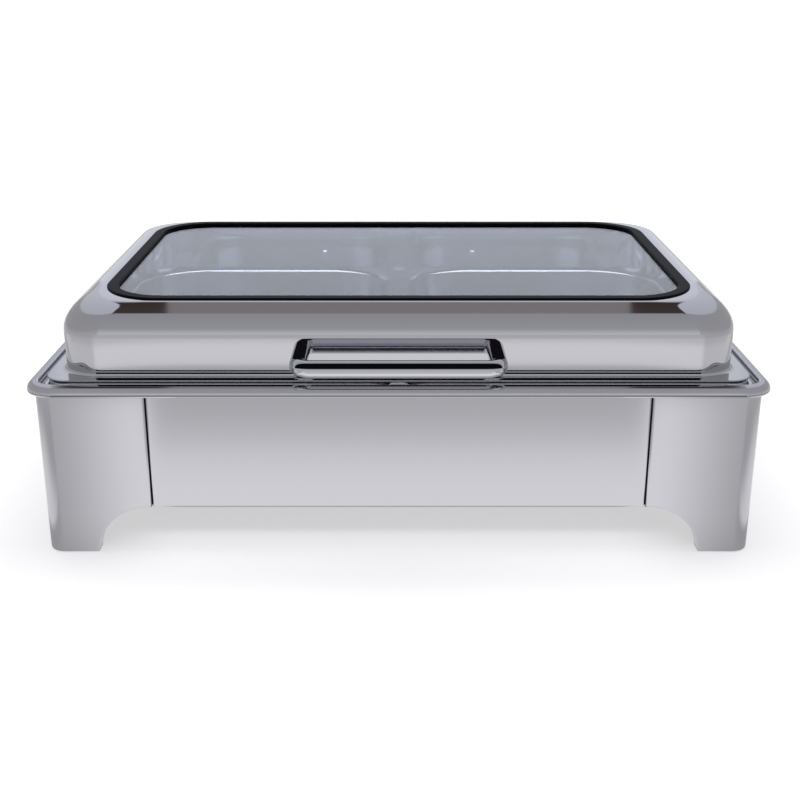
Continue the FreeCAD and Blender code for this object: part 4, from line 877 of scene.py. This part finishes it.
# %% [markdown]
# The camera stands in a dark gap of the room. A groove of polished steel, such as the one
# between the lid and the rolled rim, turns the view round in two bounces and sends it back
# towards the camera, so a groove looks black. The light path tells a second bounce from a first
# one, and the gap is kept for the second. A third bounce finds the bright sides of the room. What
# comes out after a fourth was deep in the slot under the lid, where no light reaches.

# %% Dark gap
GAP_END = 0.40
path_kind = add_node(tree, "ShaderNodeLightPath")


def bounced_more_than(count):
    """1 for light with more glossy bounces than this, and 0 for any other light."""
    return add_node(tree, MATH, {
        0: path_kind.outputs["Glossy Depth"], 1: count + 0.5}, operation="GREATER_THAN").outputs[0]


second_bounce = bounced_more_than(1)
near_middle = add_node(tree, MATH, {0: sideways, 1: GAP_END}, operation="LESS_THAN")
in_groove = overlap(near_middle.outputs[0], second_bounce)
gap_zone = room_ramp([(0, "#1C1A1E"), (70, "#1C1A1E"), (76, "#D0D3D8"), (180, "#D0D3D8")])
room = laid_over(room, gap_zone, in_groove)
room = laid_over(room, linear("#E2E6E4"), bounced_more_than(2))
room = laid_over(room, linear("#101012"), bounced_more_than(3))
print("dark gap ready, nodes:", len(tree.nodes))

# %% [markdown]
# The handle's bar is buffed to a perfect mirror and shows the gap sharply at its first bounce. A
# ray from a perfect mirror is called singular, and besides the bar only the pane sends such rays.
# So one more zone holds the gap for singular rays alone. The pane shows its bright upper part.

# %% Gap in the handle
from_buffed = overlap(rest(second_bounce), path_kind.outputs["Is Singular Ray"])
buffed_zone = room_ramp([
    (0, "#E0E0E4"), (18, "#BCBCC0"), (24, "#101014"), (96, "#101014"), (103, "#B4B8BC"), (180, "#DEE2EC")])
room = laid_over(room, buffed_zone, from_buffed)
print("handle's gap ready, nodes:", len(tree.nodes))

# %% [markdown]
# The pans lie under the window and are lit through it, by a soft lamp hung right over the pane.
# The lid must not show that lamp as a white bar on its shoulder, so the lamp is a zone that only
# light from under the pane sees. A real studio gets the same with a small lamp close to the pane.
# Its middle is dimmer than its front edge, so the pans aren't washed out when seen from above.
#
# Light on its way in and out crosses the pane's two faces twice, so more than two crossings tell
# that it comes from inside.

# %% Lamp over the window
lamp_zone = room_ramp([
    (0, "#C8CCD8"), (30, "#E8ECF8"), (48, "#FFFFFF"), (68, "#FFFFFF"), (78, "#8C8E92"), (148, "#7E8086"),
    (156, "#30343E"), (180, "#30343E")])
# A rounded edge that turns sideways, as between the two food pans, catches a lamp at the side
lamp_beside = room_ramp([
    (0, "#C8CCD8"), (48, "#FFFFFF"), (68, "#FFFFFF"), (78, "#8C8E92"), (148, "#8C8E92"), (158, "#B4B8C4"),
    (180, "#B4B8C4")])
LAMP_END, GLINTS = (0.20, 0.34), (0.25, 0.36)
lamp_zone = laid_over(lamp_zone, lamp_beside, beyond(*LAMP_END))
inner_zone = room_ramp([
    (0, "#646874"), (74, "#6C707C"), (90, "#D0D4E0"), (106, "#6C707C"), (180, "#646874")])
# Light that has bounced twice inside and leaves sideways has met a corner, which glints
inner_zone = laid_over(inner_zone, linear("#BCC0CA"), beyond(*GLINTS))
inside_room = laid_over(lamp_zone, inner_zone, second_bounce)
from_inside = add_node(tree, MATH, {
    0: path_kind.outputs["Transmission Depth"], 1: 2.5}, operation="GREATER_THAN").outputs[0]
room = laid_over(room, inside_room, from_inside)
print("lamp ready, nodes:", len(tree.nodes))

# %% [markdown]
# The lamp is stronger than the room, and weaker where light has bounced twice inside. The
# photograph's background is plain white, so the camera's own rays see white.

# %% Strength and white backdrop
ROOM_STRENGTH = 1.0
# How much stronger than the room the lamp is, at the first bounce and at the second
LAMP_FIRST, LAMP_SECOND = 2.8, 1.4
lamp_extra = add_node(tree, MATH, {
    0: second_bounce, 1: LAMP_SECOND - LAMP_FIRST, 2: LAMP_FIRST}, operation="MULTIPLY_ADD")
strength = add_node(tree, MATH, {
    0: from_inside, 1: lamp_extra.outputs[0], 2: ROOM_STRENGTH}, operation="MULTIPLY_ADD")
lit = add_node(tree, "ShaderNodeBackground", {"Color": room, "Strength": strength.outputs[0]})
seen = add_node(tree, "ShaderNodeBackground", {"Color": linear("#FFFFFF"), "Strength": 1.0})
both = add_node(tree, "ShaderNodeMixShader", {
    0: path_kind.outputs["Is Camera Ray"], 1: lit.outputs[0], 2: seen.outputs[0]})
add_node(tree, "ShaderNodeOutputWorld", {"Surface": both.outputs[0]})
print("nodes in the world:", len(tree.nodes))

# %% [markdown]
# ## Floor
#
# The floor is a plain pale board. Part of its brightness is painted light that it gives off itself,
# so the dish throws only a soft shadow, and the lid's upright front reflects it as a soft gradient.
# The light on it could come from lamps, but a lamp that lights the board lights the dish too, so the
# pools of light and the shade round the dish are painted on the board itself.
#
# All is worked out from distances to the middle, so both halves of the floor are the same.

# %% Floor
HALF_SIDE, SUNK = 60, 0.0002
corners = ((-1, -1), (1, -1), (1, 1), (-1, 1))
floor_mesh = bpy.data.meshes.new("floor")
floor_mesh.from_pydata([(x * HALF_SIDE, y * HALF_SIDE, -SUNK) for x, y in corners], [], [(0, 1, 2, 3)])
floor = bpy.data.objects.new("floor", floor_mesh)
bpy.context.scene.collection.objects.link(floor)
# The board's emission paints its pools of light and the shade round the dish; the softbox adds real light
# and shadow
board, tree, shader = plain_material("pale board with painted light", {
    "Roughness": 0.9, "Specular IOR Level": 0.0, "Emission Color": linear("#FFFFFF")})
place = add_node(tree, "ShaderNodeTexCoord").outputs["Object"]
spot = add_node(tree, "ShaderNodeVectorMath", {0: place}, operation="ABSOLUTE")
spot = add_node(tree, "ShaderNodeSeparateXYZ", {0: spot.outputs[0]})
off_x, off_y = spot.outputs["X"], spot.outputs["Y"]


def faded(distance, full, none):
    """1 where a distance is under full, 0 where it is over none, with a soft step between them."""
    return add_node(tree, "ShaderNodeMapRange", {
        "Value": distance, "From Min": full, "From Max": none, "To Min": 1.0, "To Max": 0.0},
        interpolation_type="SMOOTHSTEP").outputs["Result"]


floor_mesh.materials.append(board)
print("floor side in m:", 2 * HALF_SIDE)

# %% [markdown]
# The painted light depends on the distance from a rectangle that lies a little inside the stand's
# outline. A curve holds the profile: a painted shade close to the dish, bright from 0.14 m on, fading out
# towards half a metre, and then a second band. That band is dimmed beyond the corners.

# %% Light in front of the dish
CORNER_LIGHT = 0.55
out = {}
# The rectangle's half sizes in metres, and a least distance that the division below can take
for axis, half, least in (("X", 0.25, 0.0), ("Y", 0.16, 0.001)):
    past = add_node(tree, MATH, {0: spot.outputs[axis], 1: half}, operation="SUBTRACT")
    out[axis] = add_node(tree, MATH, {0: past.outputs[0], 1: least}, operation="MAXIMUM").outputs[0]
outwards = add_node(tree, "ShaderNodeCombineXYZ", {0: out["X"], 1: out["Y"]})
away = add_node(tree, "ShaderNodeVectorMath", {0: outwards.outputs[0]}, operation="LENGTH").outputs["Value"]
profile = add_node(tree, "ShaderNodeFloatCurve", {"Value": away})
curve = profile.mapping.curves[0]
curve.points[0].location = (0.0, 0.10)
curve.points[1].location = (1.0, 0.18)
for distance, light in [
        (0.09, 0.14), (0.14, 0.56), (0.23, 0.50), (0.33, 0.27), (0.42, 0.12), (0.505, 0.06),
        (0.538, 0.42), (0.56, 0.46), (0.61, 0.47), (0.63, 0.38), (0.66, 0.24), (0.80, 0.18)]:
    curve.points.new(distance, light)
profile.mapping.extend = "HORIZONTAL"
profile.mapping.update()
near = faded(away, 0.44, 0.48)
diagonal = add_node(tree, MATH, {0: out["X"], 1: out["Y"]}, operation="DIVIDE").outputs[0]
dimmed = add_node(tree, MATH, {0: faded(diagonal, 0.30, 0.85), 1: CORNER_LIGHT}, operation="MAXIMUM")
dimmed = add_node(tree, MATH, {0: near, 1: dimmed.outputs[0]}, operation="MAXIMUM")
band = overlap(profile.outputs[0], dimmed.outputs[0])
print("profile points:", len(curve.points))

# %% [markdown]
# The bright pool of painted light in front narrows towards the dish like a fan, and its two sides fall off
# only sideways. Each end of the dish has a painted pool of its own, which fades outwards. The whole board
# has a little light besides.

# %% Sides of the pool and light at the ends
SIDE_LIGHT, END_LIGHT, EVEN_LIGHT = 0.56, 0.40, 0.33
# How far behind the rectangle's front edge the two sides of the fan would meet
FAN_POINT = 0.875
fan = add_node(tree, MATH, {0: away, 1: FAN_POINT}, operation="ADD")
fan = add_node(tree, MATH, {0: off_x, 1: fan.outputs[0]}, operation="DIVIDE").outputs[0]
beside_pool = overlap(near, rest(faded(fan, 0.217, 0.223)))
pool_side = overlap(faded(fan, 0.225, 0.33), SIDE_LIGHT)
end_pool = overlap(faded(away, 0.18, 0.50), faded(off_y, 0.20, 0.40))
end_pool = overlap(end_pool, rest(faded(off_x, 0.33, 0.36)))
edge = add_node(tree, MATH, {0: pool_side, 1: overlap(end_pool, END_LIGHT)}, operation="ADD")
glow = add_node(tree, "ShaderNodeMix", {"Factor": beside_pool, "A": band, "B": edge.outputs[0]})
glow = add_node(tree, MATH, {0: glow.outputs[0], 1: EVEN_LIGHT}, operation="ADD")
print("nodes in the board so far:", len(tree.nodes))

# %% [markdown]
# Seen directly, the board runs out into the white background without a horizon. So the camera's
# own rays see a paler board, whose painted light grows with the distance from the dish: a painted shade
# round the dish. Close before the dish a painted band of light reaches almost up to the foot, so the
# shadow, partly cast by the softbox and partly painted, keeps a clear front edge.

# %% Board as the camera sees it
FAR_LIGHT, NEAR_PAINTED_SHADE, FOOT_LIGHT = 1.04, 0.54, 0.13
length = add_node(tree, "ShaderNodeVectorMath", {0: place}, operation="LENGTH")
nearness = faded(length.outputs["Value"], 0.85, 1.6)
foot_edge = add_node(tree, MATH, {
    0: faded(away, 0.05, 0.11), 1: faded(away, 0.0, 0.02)}, operation="SUBTRACT")
foot_edge = overlap(foot_edge.outputs[0], faded(off_x, 0.18, 0.27))
foot_light = overlap(foot_edge, FOOT_LIGHT)
# Painted shade round the dish, and a painted band of light before its foot
direct = add_node(tree, MATH, {0: FAR_LIGHT, 1: overlap(nearness, NEAR_PAINTED_SHADE)}, operation="SUBTRACT")
direct = add_node(tree, MATH, {0: direct.outputs[0], 1: foot_light}, operation="ADD")
by_camera = add_node(tree, "ShaderNodeLightPath").outputs["Is Camera Ray"]
painted_light = add_node(tree, "ShaderNodeMix", {
    "Factor": by_camera, "A": glow.outputs[0], "B": direct.outputs[0]})
# The board's painted light goes in as its emission
tree.links.new(painted_light.outputs[0], shader.inputs["Emission Strength"])
# Reflections see a darker board than the camera does: painted shade, so that the painted light sets most of
# what the steel reflects
tree.links.new(laid_over(linear("#909092"), linear("#E4E4E6"), by_camera), shader.inputs["Base Color"])
print("nodes in the board:", len(tree.nodes))

# %% [markdown]
# ## Softbox
#
# One wide softbox hangs overhead and lights the satin stand, the pans and the board. It is hidden
# from reflections and from what shows through the pane, because the world already holds the
# bright bands for both.

# %% Softbox
softbox_data = bpy.data.lights.new("softbox", "AREA")
softbox_data.shape = "RECTANGLE"
softbox_data.size = 1.6
softbox_data.size_y = 1.0
softbox_data.energy = 14
softbox = bpy.data.objects.new("softbox", softbox_data)
softbox.location = (0, 0.1, 1.9)
softbox.visible_glossy = False
softbox.visible_transmission = False
bpy.context.scene.collection.objects.link(softbox)
bpy.context.scene.view_settings.view_transform = "Standard"
print("softbox width in m:", softbox_data.size)
